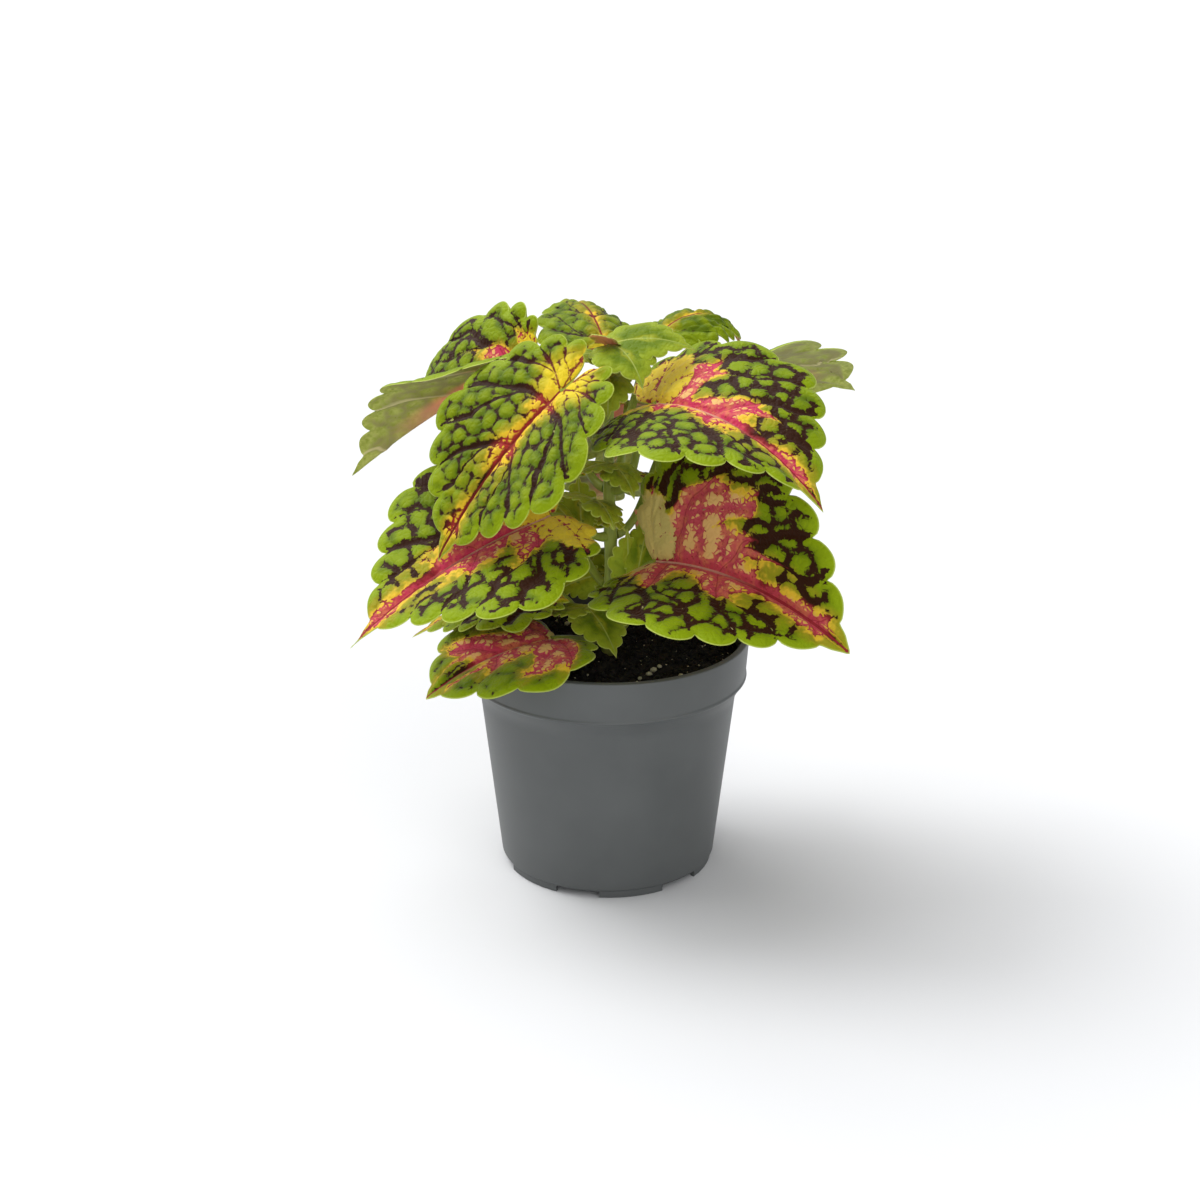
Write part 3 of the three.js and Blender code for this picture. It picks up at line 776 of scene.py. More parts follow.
MATURE_FINISH = LeafFinish(
    name="mature_leaf_living_tissue", age=LeafAge.MATURE,
    green="#566e00", green_pale_and_puff_highlight="#889e00", lime="#8fa604", edge="#bccb5e", dark="#341602",
    core="#cf3a60", core_pale="#e07c5c", core_deep="#9c2c34", brick="#cf6a54",
    olive="#a89c20", fringe="#f0c838", fringe_pale="#f0c078", heart="#f2d82c", heart_pale="#dcca78",
    midrib="#e2b49a", fringe_mm=4.0, ragged=1.0, recess=1.5, core_net=1.2, midrib_mm=0.5,
    cross_share=0.55, band_share=0.32,
)
YOUNG_FINISH = LeafFinish(
    name="young_leaf_living_tissue", age=LeafAge.YOUNG,
    green="#566e00", green_pale_and_puff_highlight="#8a9c00", lime="#8ca204", edge="#b6c650", dark="#301402",
    core="#a83a2c", core_pale="#b03030", core_deep="#74201a", brick="#a82430",
    olive="#aa9e1e", fringe="#efca30", fringe_pale="#efca40", heart="#ecd42c", heart_pale="#ecd42c",
    midrib="#8e2a24", fringe_mm=5.0, ragged=0.4, recess=0.5, core_net=0.6, midrib_mm=0.7,
    cross_share=0.36, band_share=0.2, heart_net=0.3, heart_rays=1.0, fork_mm=0.15, fringe_gap=0.0,
    olive_mm=7.0, heart_fade=7.0,
)
SMALL_FINISH = LeafFinish(
    name="small_leaf_living_tissue", age=LeafAge.SMALL,
    green="#67800a", green_pale_and_puff_highlight="#96a824", lime="#9cae28", edge="#bccb5e", dark="#556a1c",
    core="#a9b63c", core_pale="#a9b63c", core_deep="#7c942a", brick="#a9b63c",
    olive="#9ca41e", fringe="#aab843", fringe_pale="#aab843", heart="#c3c846", heart_pale="#c3c846",
    midrib="#b0be5a", fringe_mm=0.6, ragged=0.3, recess=1.0, core_net=0.3, midrib_mm=0.4,
    band_share=0.1, fringe_gap=0.0, olive_mm=3.0,
)


@dataclass(frozen=True)
class PlantFinishes:
    """Materials of the plant: upper sides by the leaf's age, underside, and the skin of stem and stalks."""

    tops: dict[LeafAge, bpy.types.Material]
    underside: bpy.types.Material
    skin: bpy.types.Material


# ---------------------------------------------------------------- blades


@dataclass(frozen=True)
class BladeStyle:
    """How the edge and the surface of a blade grow, and how finely they are drawn.

    tooth_start, tooth_end: shares of the edge between which the teeth stand
    wave, wave_rate, wave_phase: height of the ripple at the edge, its turns, and its start on each half
    midrib_depth: how far the midrib's keel stands out below
    puff, cell: height of the puffs between the side veins and of the small ones on them
    """

    tooth_start: float
    tooth_end: float
    wave: float
    midrib_depth: float
    rows_per_tooth: int
    end_rows: tuple[int, int]  # before the first tooth and after the last one
    columns: int
    puff: float
    cell: float
    thickness: float = 0.6
    wave_rate: float = 13.0
    wave_phase: tuple[float, float] = (0.8, 2.9)


MAIN_BLADE = BladeStyle(tooth_start=0.1, tooth_end=0.93, wave=1.2, midrib_depth=1.3,
                        rows_per_tooth=14, end_rows=(10, 12), columns=44, puff=0.8, cell=0.4)
SMALL_BLADE = BladeStyle(tooth_start=0.12, tooth_end=0.9, wave=0.5, midrib_depth=0.3,
                         rows_per_tooth=8, end_rows=(6, 6), columns=16, puff=0.35, cell=0.2)


@dataclass(frozen=True)
class Markings:
    """Where the colours of one leaf lie. Pairs are for the left and the right half, seen from the base.

    middle: how far the coloured middle runs out along the side veins, as a share of them
    strip: least half-width of the coloured middle along the midrib
    net: half-width of the dark bands on the side veins
    heart: how far the pale heart reaches from the base along the back edge
    brick, cream: shares of brick red in the middle and of cream in the heart
    field_share: length of the fields between the veins, as a share of that of the leaf's age
    """

    middle: tuple[float, float] = (0.5, 0.4)
    strip: float = 3.4
    net: tuple[float, float] = (1.9, 1.9)
    heart: tuple[float, float] = (14.0, 14.0)
    brick: float = 0.2
    cream: float = 0.0
    field_share: float = 1.0


@dataclass(frozen=True)
class LeafForm:
    """Place and growth of one leaf: its base, the direction of its midrib, and how it bends.

    Angles are in degrees and sizes in millimetres.

    axil: small leaves on the stalk, each by its share of the stalk and the values that small() takes
    lobe: how far the two lobes reach back past the base
    teeth, tooth_depth: number on each half, and their size
    skew: share by which the left lobe is longer than the right one
    sinus: how open the notch between the lobes is
    hip: how far back the full width reaches
    apex: how full the blade stays near its tip
    """

    name: str
    base: tuple[float, float, float]
    heading: float
    pitch: float
    roll: float
    droop: float
    bend: float
    twist: float
    length: float
    half_width: float
    fold: float
    curl: float
    lobe: float
    node: float = 0.0
    teeth: int = 8
    tooth_depth: float = 5.6
    skew: float = 0.0
    sinus: float = 0.3
    hip: float = 0.02
    apex: float = 0.14
    age: LeafAge = LeafAge.MATURE
    marks: Markings = Markings()
    axil: tuple = ()

    @classmethod
    def small(
        cls, base: np.ndarray, heading: float, pitch: float, droop: float, length: float, half_width: float,
        roll: float,
    ) -> "LeafForm":
        """Form a small leaf of a shoot or of a leaf axil, by the values of the same names."""
        return cls(
            name="small", base=tuple(base), heading=heading, pitch=pitch, roll=roll, droop=droop, bend=0,
            twist=0, length=length, half_width=half_width, fold=-6, curl=26, lobe=0.06, teeth=5,
            tooth_depth=2.0, age=LeafAge.SMALL, marks=Markings((0, 0), 0.4, (-0.6, -0.6), (3, 3)),
        )


class LeafSlot(IntEnum):
    """Material numbers of a leaf or a shoot."""

    UPPER = 0
    LOWER = 1
    STALK = 2
    SMALL = 3


class Blade:
    """The blade of one leaf, as a fine closed sheet that follows the leaf's form."""

    def __init__(self, form: LeafForm, style: BladeStyle, seed: int) -> None:
        """Keep the form and work out the midrib.

        Args:
            form: Place and growth of the leaf.
            style: Edge and surface of the blade.
            seed: Number that makes the leaf's small variations its own.
        """
        self.form = form
        self.style = style
        self.random = np.random.default_rng(seed)
        # the midrib is drawn from before the base, for the lobes
        first, steps = -0.3, 52
        step = (1 - first) / steps
        places = [np.zeros(3)]
        for k in range(steps):
            along = self.frame(np.array(first + (k + 0.5) * step))[0]
            places.append(places[-1] + along * step * form.length)
        self.stations = first + step * np.arange(steps + 1)
        self.places = np.array(places)
        self.places += np.array(form.base) - self.midrib(np.array(0.0))

    def frame(self, share: np.ndarray) -> tuple[np.ndarray, np.ndarray, np.ndarray]:
        """Find the blade's directions at shares of its length.

        Args:
            share: Places along the midrib, 0 at the base and 1 at the tip.

        Returns:
            Unit vectors along the midrib, to the left side, and up from the blade.
        """
        f = self.form
        heading = np.radians(f.heading + f.bend * share)
        pitch = np.radians(f.pitch - f.droop * share)
        roll = np.radians(f.roll + f.twist * share)
        level_part = np.cos(pitch)
        along = np.stack([np.cos(heading) * level_part, np.sin(heading) * level_part, np.sin(pitch)], -1)
        level = np.stack([-np.sin(heading), np.cos(heading), 0 * heading], -1)
        upright = np.cross(along, level)
        side = level * np.cos(roll)[..., None] + upright * np.sin(roll)[..., None]
        return along, side, np.cross(along, side)

    def midrib(self, share: np.ndarray) -> np.ndarray:
        """Read places on the midrib at shares of its length."""
        return np.stack([np.interp(share, self.stations, self.places[:, k]) for k in range(3)], -1)

    def surface(self, x: np.ndarray, y: np.ndarray, height: np.ndarray) -> np.ndarray:
        """Bend flat places into space.

        Args:
            x: Distance from the base, as a share of the length.
            y: Distance from the midrib, positive on the left half.
            height: Distance above the middle of the blade.

        Returns:
            The places in space.
        """
        f, s = self.form, self.style
        fold = math.radians(f.fold)
        turn = math.radians(f.curl) / f.half_width
        across = np.abs(y)
        slope = fold + turn * across
        out = (np.sin(slope) - math.sin(fold)) / turn
        fall = (math.cos(fold) - np.cos(slope)) / turn
        phase = np.where(y > 0, s.wave_phase[0], s.wave_phase[1])
        ripple = s.wave * (across / f.half_width) ** 2 * np.sin(s.wave_rate * x + phase)
        _, side, up = self.frame(x)
        reach = np.sign(y) * (out + height * np.sin(slope))
        rise = height * np.cos(slope) - fall + ripple
        return self.midrib(x) + side * reach[..., None] + up * rise[..., None]

    def outline(self, shares: np.ndarray, side: int) -> np.ndarray:
        """Read the smooth outline of a half.

        Args:
            shares: Shares of the outline's own length, from the base to the tip.
            side: 0 for the left half, 1 for the right.

        Returns:
            Flat places, in lengths along the midrib and half-widths from it.
        """
        f = self.form
        lobe = f.lobe * (1 + f.skew * (1 - 2 * side))
        broadest = (0.36, 1)
        back = cubic((0, 0), (-1.3 * lobe, f.sinus), (f.hip, 1), broadest, 200)
        front = cubic(broadest, (0.6, 1), (0.8, f.apex), (1, 0), 200)
        return Curve(np.vstack([back, front[1:]])).at(np.clip(shares, 0, 1))

    def edge(self, shares: np.ndarray, side: int) -> np.ndarray:
        """Read the toothed edge of a half.

        Args:
            shares: Shares of the smooth outline.
            side: 0 for the left half, 1 for the right.

        Returns:
            Flat places, in millimetres.
        """
        f, s = self.form, self.style
        scale = np.array([f.length, f.half_width])
        flat = self.outline(shares, side) * scale
        tangent = unit((self.outline(shares + 0.01, side) - self.outline(shares - 0.01, side)) * scale)
        span = (s.tooth_end - s.tooth_start) / f.teeth
        phase = (shares - s.tooth_start) / span
        within = phase - np.floor(phase)
        tooth = np.sin(math.pi * within**1.1) ** 0.55
        start = 0.5 * smooth(0, 1, (s.tooth_start - shares) / (0.5 * s.tooth_start))
        end = 0.5 * smooth(0, 1, (shares - s.tooth_end) / (0.5 * (1 - s.tooth_end)))
        height = np.where(shares <= s.tooth_start, start, np.where(shares >= s.tooth_end, end, tooth))
        fade = np.minimum(1, np.minimum(4 * (1.05 - shares), 5 * shares))
        ends = smooth(0, 0.03, shares) * smooth(0, 0.03, 1 - shares)
        normal = np.stack([-tangent[:, 1], tangent[:, 0]], -1)
        return flat + normal * ((height - 0.5) * f.tooth_depth * fade * ends)[:, None]

    def half(self, side: int) -> dict[str, np.ndarray]:
        """Lay a net of rows along the side veins and columns from the midrib to the edge over one half.

        Args:
            side: 0 for the left half, 1 for the right.

        Returns:
            Flat places, the vein count of each row and surface values, as arrays of rows and columns.
        """
        f, s = self.form, self.style
        before, after = s.end_rows
        shares = np.concatenate([
            np.linspace(0, s.tooth_start, before, endpoint=False),
            np.linspace(s.tooth_start, s.tooth_end, f.teeth * s.rows_per_tooth, endpoint=False),
            np.linspace(s.tooth_end, 1, after + 1),
        ])
        count = (shares - s.tooth_start) / (s.tooth_end - s.tooth_start) * f.teeth
        # the veins of the back third leave the midrib close to the base, and the others one after another
        root = 0.05 * shares + 0.95 * np.clip((shares - 0.3) / 0.7, 0, 1) ** 2.2
        starts = np.stack([root * f.length, 0 * root], -1)[:, None]
        rims = self.edge(shares, side)[:, None]
        plain = (self.outline(shares, side) * np.array([f.length, f.half_width]))[:, None]
        t = np.linspace(0, 1, s.columns + 1)
        c = (0.6 * t + 0.4 * (0.5 - 0.5 * np.cos(math.pi * t)))[None, :, None]
        chord = plain - starts
        back = np.stack([-chord[..., 1], chord[..., 0]], -1)
        bulge = 0.36 * smooth(0.12, 0.42, shares)[:, None, None]
        net = starts + chord * c + (rims - plain) * c**4 + back * bulge * c * (1 - c)
        net[:, 0, 1] = 0
        rows = net.shape[0]
        flat = net.reshape(-1, 2)
        rim = distance_to_line(flat, self.edge(np.linspace(0, 1, 400), side))
        rim = np.where(np.arange(len(flat)) % (s.columns + 1) == s.columns, 0, rim).reshape(rows, -1)
        reach = np.linalg.norm(net - starts, axis=2)
        across = np.gradient(net, axis=0) / np.gradient(count)[:, None, None]
        along = unit(np.gradient(net, axis=1))
        gap = np.abs(across[..., 0] * along[..., 1] - across[..., 1] * along[..., 0])
        return {"net": net, "count": count, "gap": gap, "rim": rim, "reach": reach, "c": c[..., 0]}

    def wobble(self, places: np.ndarray, size: float) -> np.ndarray:
        """Find a smooth random number at flat places.

        Args:
            places: The places, in millimetres.
            size: About how wide its bumps are.

        Returns:
            A number from about -1 to 1 for each place.
        """
        total = np.zeros(places.shape[:-1])
        for _ in range(4):
            angle, shift = self.random.uniform(0, 2 * math.pi, 2)
            rate = self.random.uniform(0.7, 1.5) * math.pi / size
            turned = places[..., 0] * math.cos(angle) + places[..., 1] * math.sin(angle)
            total += np.sin(turned * rate + shift)
        return total / 2.4

    def fields(self, half: dict[str, np.ndarray], count: np.ndarray) -> np.ndarray:
        """Divide one half into rounded fields between its veins, some of them grown together.

        Args:
            half: The net of the half.
            count: The vein count of each place.

        Returns:
            Distance of each place from the border of its field, in millimetres.
        """
        f = self.form
        size = f.marks.field_share * f.age.value
        rows = np.arange(-0.4 * f.length, 1.05 * f.length, 0.87 * size)
        columns = np.arange(0, f.half_width + 2 * size, size)
        x, y = np.meshgrid(rows, columns, indexing="ij")
        y = y + 0.5 * size * (np.arange(len(rows)) % 2)[:, None]
        seeds = np.stack([x.ravel(), y.ravel()], -1) + size * self.random.uniform(-0.3, 0.3, (x.size, 2))
        group = np.cumsum(self.random.uniform(0, 1, len(seeds)) > 0.18)
        flat = half["net"].reshape(-1, 2)
        distance = ((flat[:, None] - seeds) ** 2).sum(axis=2)
        first = distance.argmin(axis=1)
        least = distance[np.arange(len(flat)), first][:, None]
        apart = np.linalg.norm(seeds[first][:, None] - seeds, axis=2)
        borders = (distance - least) / (2 * np.maximum(apart, 0.5))
        borders[group[first][:, None] == group] = 50
        # the main side veins are borders too, and a soft minimum rounds the corners of a field
        vein = 2 * off_whole(count / 2) * half["gap"]
        sharp = 1.5
        total = np.exp(-sharp * np.minimum(borders, 30)).sum(axis=1) + np.exp(-sharp * vein.ravel())
        return (0.35 - np.log(total) / sharp).reshape(count.shape)

    def values(self, half: dict[str, np.ndarray], side: int) -> dict[str, np.ndarray]:
        """Work out the surface values of one half.

        Args:
            half: The net of the half.
            side: 0 for the left half, 1 for the right.

        Returns:
            Arrays of rows and columns by the name of the value.
        """
        m = self.form.marks
        net, c, reach = half["net"], half["c"], half["reach"]
        count = half["count"][:, None] + 0.12 * self.wobble(net, 11) * smooth(0, 0.3, c)
        # every second side vein starts as a fork of the one before it
        fork = (count - smooth(0.2, 0.65, c)) / 2
        # the coloured middle reaches furthest on the second to fourth side vein
        spread = np.interp(count, [-1.5, 0, 1, 2.5, 4.5, 6.5, 8, 9.5], [0, 0.35, 0.85, 1, 0.95, 0.8, 0.5, 0])
        spread = spread * m.middle[side] * (1 + 0.25 * np.sin(2.1 * count + 3 * side + self.form.heading))
        x = net[..., 0] / self.form.length
        tip = smooth(1.0, 0.8, x)
        core = spread * reach[:, -1:] - reach - 6 * (1 - tip)
        strip = m.strip * (0.4 + 0.6 * smooth(0.95, 0.5, x)) - np.abs(net[..., 1]) - 4 * (1 - tip)
        back = np.abs(np.degrees(np.arctan2(net[..., 1], net[..., 0])))
        heart = m.heart[side] * np.interp(back, [0, 40, 85], [0.4, 0.55, 1]) - np.linalg.norm(net, axis=2)
        near = np.exp(-((off_whole(count) * half["gap"] / 2.4) ** 2))
        calm = smooth(0.5, 5.5, half["rim"] + 1.2 * self.wobble(net, 8))
        calm = np.maximum(calm, 0.85 * near * smooth(0.4, 2.0, half["rim"]))
        dark = m.net[side] * calm * (1 + 0.3 * self.wobble(net, 14)) * smooth(1.02, 0.86, x)
        dark = dark - 1.8 * (1 - calm) - 2.5 * (1 - tip)
        return {
            "main": count / 2, "fork": fork, "gap_mm": half["gap"], "rib_mm": np.abs(net[..., 1]),
            "rim_mm": half["rim"], "cell_mm": self.fields(half, count), "core_mm": core, "strip_mm": strip,
            "heart_mm": heart, "net_mm": dark, "brick": m.brick + 0 * x, "cream": m.cream + 0 * x,
        }

    def relief(
        self, half: dict[str, np.ndarray], values: dict[str, np.ndarray]
    ) -> tuple[np.ndarray, np.ndarray]:
        """Raise the puffs between the veins and the veins beneath.

        Args:
            half: The net of the half.
            values: Its surface values.

        Returns:
            Heights of the upper and the lower side over the middle of the blade.
        """
        s = self.style
        gap, rib, rim, cell = values["gap_mm"], values["rib_mm"], values["rim_mm"], values["cell_mm"]
        vein = np.minimum(off_whole(values["main"]) * 2 * gap, off_whole(values["fork"]) * 2 * gap + 0.7)
        off_rib = 1 - np.exp(-((rib / 2.0) ** 2))
        more = 1.3 if self.form.age is LeafAge.YOUNG else 1.0
        quilt = more * s.puff * (1 - np.exp(-((vein / 2.0) ** 2))) * off_rib
        quilt = quilt + 1.5 * more * s.cell * (1 - np.exp(-((cell / 1.3) ** 2))) * off_rib
        calm = smooth(0, 4.5, rim) * smooth(0, 6, gap)
        x = half["net"][..., 0] / self.form.length
        middle = (quilt - 0.6 * (s.puff + s.cell)) * calm
        middle = middle - 0.5 * s.puff * np.exp(-((rib / 1.4) ** 2)) * (1 - x)
        middle = middle - s.puff * (1 - np.clip(rim / 4, 0, 1)) ** 2
        half_thick = 0.5 * s.thickness * np.sqrt(np.clip(rim / 0.7, 0, 1))
        ridge = 0.6 * s.puff * np.exp(-((vein / 0.8) ** 2)) * calm
        keel = s.midrib_depth * np.clip(1 - x, 0.1, 1) * np.exp(-((rib / 1.3) ** 2)) * smooth(0, 4.5, rim)
        return middle + half_thick, middle - half_thick - ridge - keel

    def add_to(self, shell: Shell, upper: LeafSlot) -> None:
        """Add the blade to a mesh.

        Args:
            shell: The mesh that gets it.
            upper: Material number of its upper side.
        """
        points, values, index, total = [], {name: [] for name in LEAF_VALUES}, {}, 0
        for side, sign in enumerate((1, -1)):
            half = self.half(side)
            x, y = half["net"][..., 0] / self.form.length, sign * half["net"][..., 1]
            found = self.values(half, side)
            for level, height in enumerate(self.relief(half, found)):
                points.append(self.surface(x, y, height).reshape(-1, 3))
                for name in LEAF_VALUES:
                    values[name].append(found[name].ravel())
                index[side, level] = total + np.arange(height.size).reshape(height.shape)
                total += height.size
        points = np.vstack(points)
        # the midrib column, the rim, the base and the tip are shared
        for level in (0, 1):
            left, right = index[0, level][:, 0], index[1, level][:, 0]
            points[left] = 0.5 * (points[left] + points[right])
            right[:] = left
            for side in (0, 1):
                index[side, level][0, :] = index[0, level][0, 0]
        for side in (0, 1):
            index[side, 1][:, -1] = index[side, 0][:, -1]
            for level in (0, 1):
                index[side, level][-1, :] = index[0, 0][-1, -1]
        faces, slots = [], []
        for level, slot in enumerate((upper, LeafSlot.LOWER)):
            for side in (0, 1):
                cells = self.cells(index[side, level], 1 + level)
                faces += [face if side == level else face[::-1] for face in cells]
                slots += [slot] * len(cells)
        used = np.unique([corner for face in faces for corner in face])
        renumber = np.full(len(points), -1)
        renumber[used] = np.arange(len(used))
        kept = {name: np.concatenate(rows)[used] for name, rows in values.items()}
        shell.add(points[used], [renumber[list(face)] for face in faces], slots, kept)

    @staticmethod
    def cells(grid: np.ndarray, step: int) -> list[tuple[int, ...]]:
        """Join a net's vertices into faces.

        Args:
            grid: Vertex numbers by row and column.
            step: 1 for every row and column, 2 for every second one, with the rim kept whole.

        Returns:
            Faces without doubled corners.
        """
        rows = range(0, grid.shape[0], step)
        columns = range(0, grid.shape[1] + 1 - step, step)
        faces = []
        for a, b in zip(rows[:-1], rows[1:]):
            for p, q in zip(columns[:-1], columns[1:]):
                faces.append((grid[a, p], grid[b, p], grid[b, q], grid[a, q]))
            if step == 2:
                last, middle = columns[-1], a + 1
                faces.append((grid[a, last], grid[middle, -1], grid[a, -1]))
                faces.append((grid[a, last], grid[b, last], grid[middle, -1]))
                faces.append((grid[b, last], grid[b, -1], grid[middle, -1]))
        clean = [tuple(dict.fromkeys(int(corner) for corner in face)) for face in faces]
        return [face for face in clean if len(face) > 2]


def add_small_leaves(shell: Shell, stalk: Curve, leaves: tuple, upper: LeafSlot, seed: int) -> None:
    """Add small leaves to a stalk.

    Args:
        shell: The mesh that gets them.
        stalk: Middle line of the stalk.
        leaves: For each leaf its share of the stalk and the values that LeafForm.small() takes.
        upper: Material number of their upper sides.
        seed: Number of the first leaf's small variations.
    """
    for k, (share, *growth) in enumerate(leaves):
        Blade(LeafForm.small(stalk.place(share), *growth), SMALL_BLADE, seed + k).add_to(shell, upper)


# ---------------------------------------------------------------- stem, leaves and shoots


# heights on the stem where its pairs of leaves grow
NODE_HEIGHTS = LOWEST, LOW, MIDDLE, HIGH, UPPER, TOP = (101, 124, 146, 166, 185, 198)
# a stalk is far from every vein and edge, so the finish of a blade never shows on it
STALK_VALUES = {"rim_mm": 9.0, "rib_mm": 9.0, "gap_mm": 9.0}


@dataclass
class Stem:
    """The square main stem, swollen at each pair of leaves."""

    path: tuple = ((0, 0, 68), (0, 0, 92), (1.2, -0.6, 126), (0.4, 0.4, 168), (0, 0, 206))
    foot_radius: float = 3.9
    tip_radius: float = 2.3
    swelling: float = 0.12
    swelling_height: float = 4
    squareness: float = 0.84
    groove: float = 0.05
    steps: int = 150
    sides: int = 32

    def __post_init__(self) -> None:
        """Sample the middle line."""
        self.curve = Curve.through(list(self.path))

    def share(self, height: float) -> float:
        """Find the share of the stem's length at a height."""
        shares = np.linspace(0, 1, 2000)
        return float(np.interp(height, self.curve.at(shares)[:, 2], shares))

    def radius(self, share: float) -> float:
        """Find the mean radius of the stem at a share of its length.

        Args:
            share: Share of the length, 0 at the foot.

        Returns:
            The radius.
        """
        height = self.curve.place(share)[2]
        taper = self.foot_radius + (self.tip_radius - self.foot_radius) * share
        near = max(math.exp(-(((height - node) / self.swelling_height) ** 2)) for node in NODE_HEIGHTS)
        return taper * (1 + self.swelling * near)

    def side(self, height: float, outward: np.ndarray, depth: float = 0.6) -> np.ndarray:
        """Find a place a little inside the skin of the stem, where a stalk grows from it."""
        share = self.share(height)
        return self.curve.place(share) + outward * (self.radius(share) - depth)

    def build(self, finish: bpy.types.Material) -> bpy.types.Object:
        """Build and dress the stem.

        Args:
            finish: Material of living stems.

        Returns:
            The piece.
        """
        corner = 1.19  # reach of the square with round corners at its corners, in half-widths

        def radius(share: float, angle: float) -> float:
            """Square with round corners, and a shallow groove along each face."""
            c, s = abs(math.cos(angle)), abs(math.sin(angle))
            square = self.squareness / (c**4 + s**4) ** 0.25 / corner + 1 - self.squareness
            groove = self.groove * max(0.0, math.cos(4 * angle)) ** 4
            return self.radius(share) * (square - groove)

        shell = Shell()
        shell.add_tube(self.curve, self.steps, self.sides, radius, 0)
        piece = shell.build("coleus_stem", [finish], crease=50)
        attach(piece, "root")
        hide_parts("stem")
        return piece


@dataclass
class MainLeaf:
    """A main leaf: its stalk from the stem, its midrib and its blade."""

    form: LeafForm
    seed: int
    axil_seed: int = 200
    stalk_radius: float = 1.7
    stalk_taper: float = 0.16
    stalk_foot: float = 0.25
    channel: float = 0.16
    channel_angle: float = 0.45
    steps: int = 28
    sides: int = 14

    def stalk(self, stem: Stem, blade: Blade) -> Curve:
        """Find the middle line of the stalk.

        Args:
            stem: The stem that it grows from.
            blade: The blade that it carries.

        Returns:
            The line, which leaves the stem squarely and runs on into the midrib.
        """
        base = np.array(self.form.base)
        along, _, up = blade.frame(np.array(0.0))
        outward = base - stem.curve.place(stem.share(self.form.node))
        outward[2] = 0
        outward = unit(outward)
        start = stem.side(self.form.node, outward)
        arrival = unit(unit(base - start) + along)
        reach = np.linalg.norm(base - start)
        end = base - up * 0.35 * self.stalk_radius + along * 1.5
        return Curve(cubic(start, start + outward * 0.3 * reach, base - arrival * 0.35 * reach, end, 60))

    def build(self, stem: Stem, finishes: PlantFinishes) -> bpy.types.Object:
        """Build and dress the leaf.

        Args:
            stem: The stem that it grows from.
            finishes: Materials of the plant.

        Returns:
            The piece.
        """

        def radius(share: float, angle: float) -> float:
            """Thicker where it leaves the stem, with a channel at the side that looks up."""
            channel = self.channel * math.exp(-((min(angle, TURN - angle) / self.channel_angle) ** 2))
            foot = self.stalk_foot * math.exp(-((share / 0.08) ** 2))
            return self.stalk_radius * (1.06 - self.stalk_taper * share + foot - channel)

        shell = Shell(LEAF_VALUES)
        blade = Blade(self.form, MAIN_BLADE, self.seed)
        blade.add_to(shell, LeafSlot.UPPER)
        stalk = self.stalk(stem, blade)
        shell.add_tube(stalk, self.steps, self.sides, radius, LeafSlot.STALK, STALK_VALUES)
        materials = [finishes.tops[self.form.age], finishes.underside, finishes.skin]
        if self.form.axil:
            add_small_leaves(shell, stalk, self.form.axil, LeafSlot.SMALL, self.axil_seed)
            materials.append(finishes.tops[LeafAge.SMALL])
        piece = shell.build("coleus_" + self.form.name, materials)
        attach(piece, "root")
        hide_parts(self.form.name)
        return piece


@dataclass
class Shoot:
    """A leafy shoot: a short stalk with small leaves.

    root: height and heading on the stem, or None where the stalk runs on from the stem
    stalk: places that it passes through
    radius: its radius at the root and at the tip
    leaves: for each leaf its place on the stalk, heading, pitch, droop, length, half-width and roll
    """

    name: str
    root: tuple | None
    stalk: tuple
    radius: tuple
    leaves: tuple
    seed: int
    steps: int = 20
    sides: int = 12

    def path(self, stem: Stem) -> Curve:
        """Find the middle line of the stalk.

        Args:
            stem: The stem that it grows from.

        Returns:
            The line.
        """
        knots = [np.array(p, float) for p in self.stalk]
        if self.root:
            height, heading = self.root
            outward = heading_vector(heading)
            start = stem.side(height, outward)
            knots = [start, start + outward * (self.radius[0] + 0.9)] + knots
        return Curve.through(knots)

    def build(self, stem: Stem, finishes: PlantFinishes) -> bpy.types.Object:
        """Build and dress the shoot.

        Args:
            stem: The stem that it grows from.
            finishes: Materials of the plant.

        Returns:
            The piece.
        """
        thick, thin = self.radius

        def radius(share: float, _: float) -> float:
            """Taper from the root to the tip."""
            return thick + (thin - thick) * share

        shell = Shell(LEAF_VALUES)
        curve = self.path(stem)
        add_small_leaves(shell, curve, self.leaves, LeafSlot.UPPER, self.seed)
        shell.add_tube(curve, self.steps, self.sides, radius, LeafSlot.STALK, STALK_VALUES)
        materials = [finishes.tops[LeafAge.SMALL], finishes.underside, finishes.skin]
        piece = shell.build("coleus_" + self.name, materials)
        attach(piece, "root")
        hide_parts(self.name)
        return piece


# ---------------------------------------------------------------- pot and mix


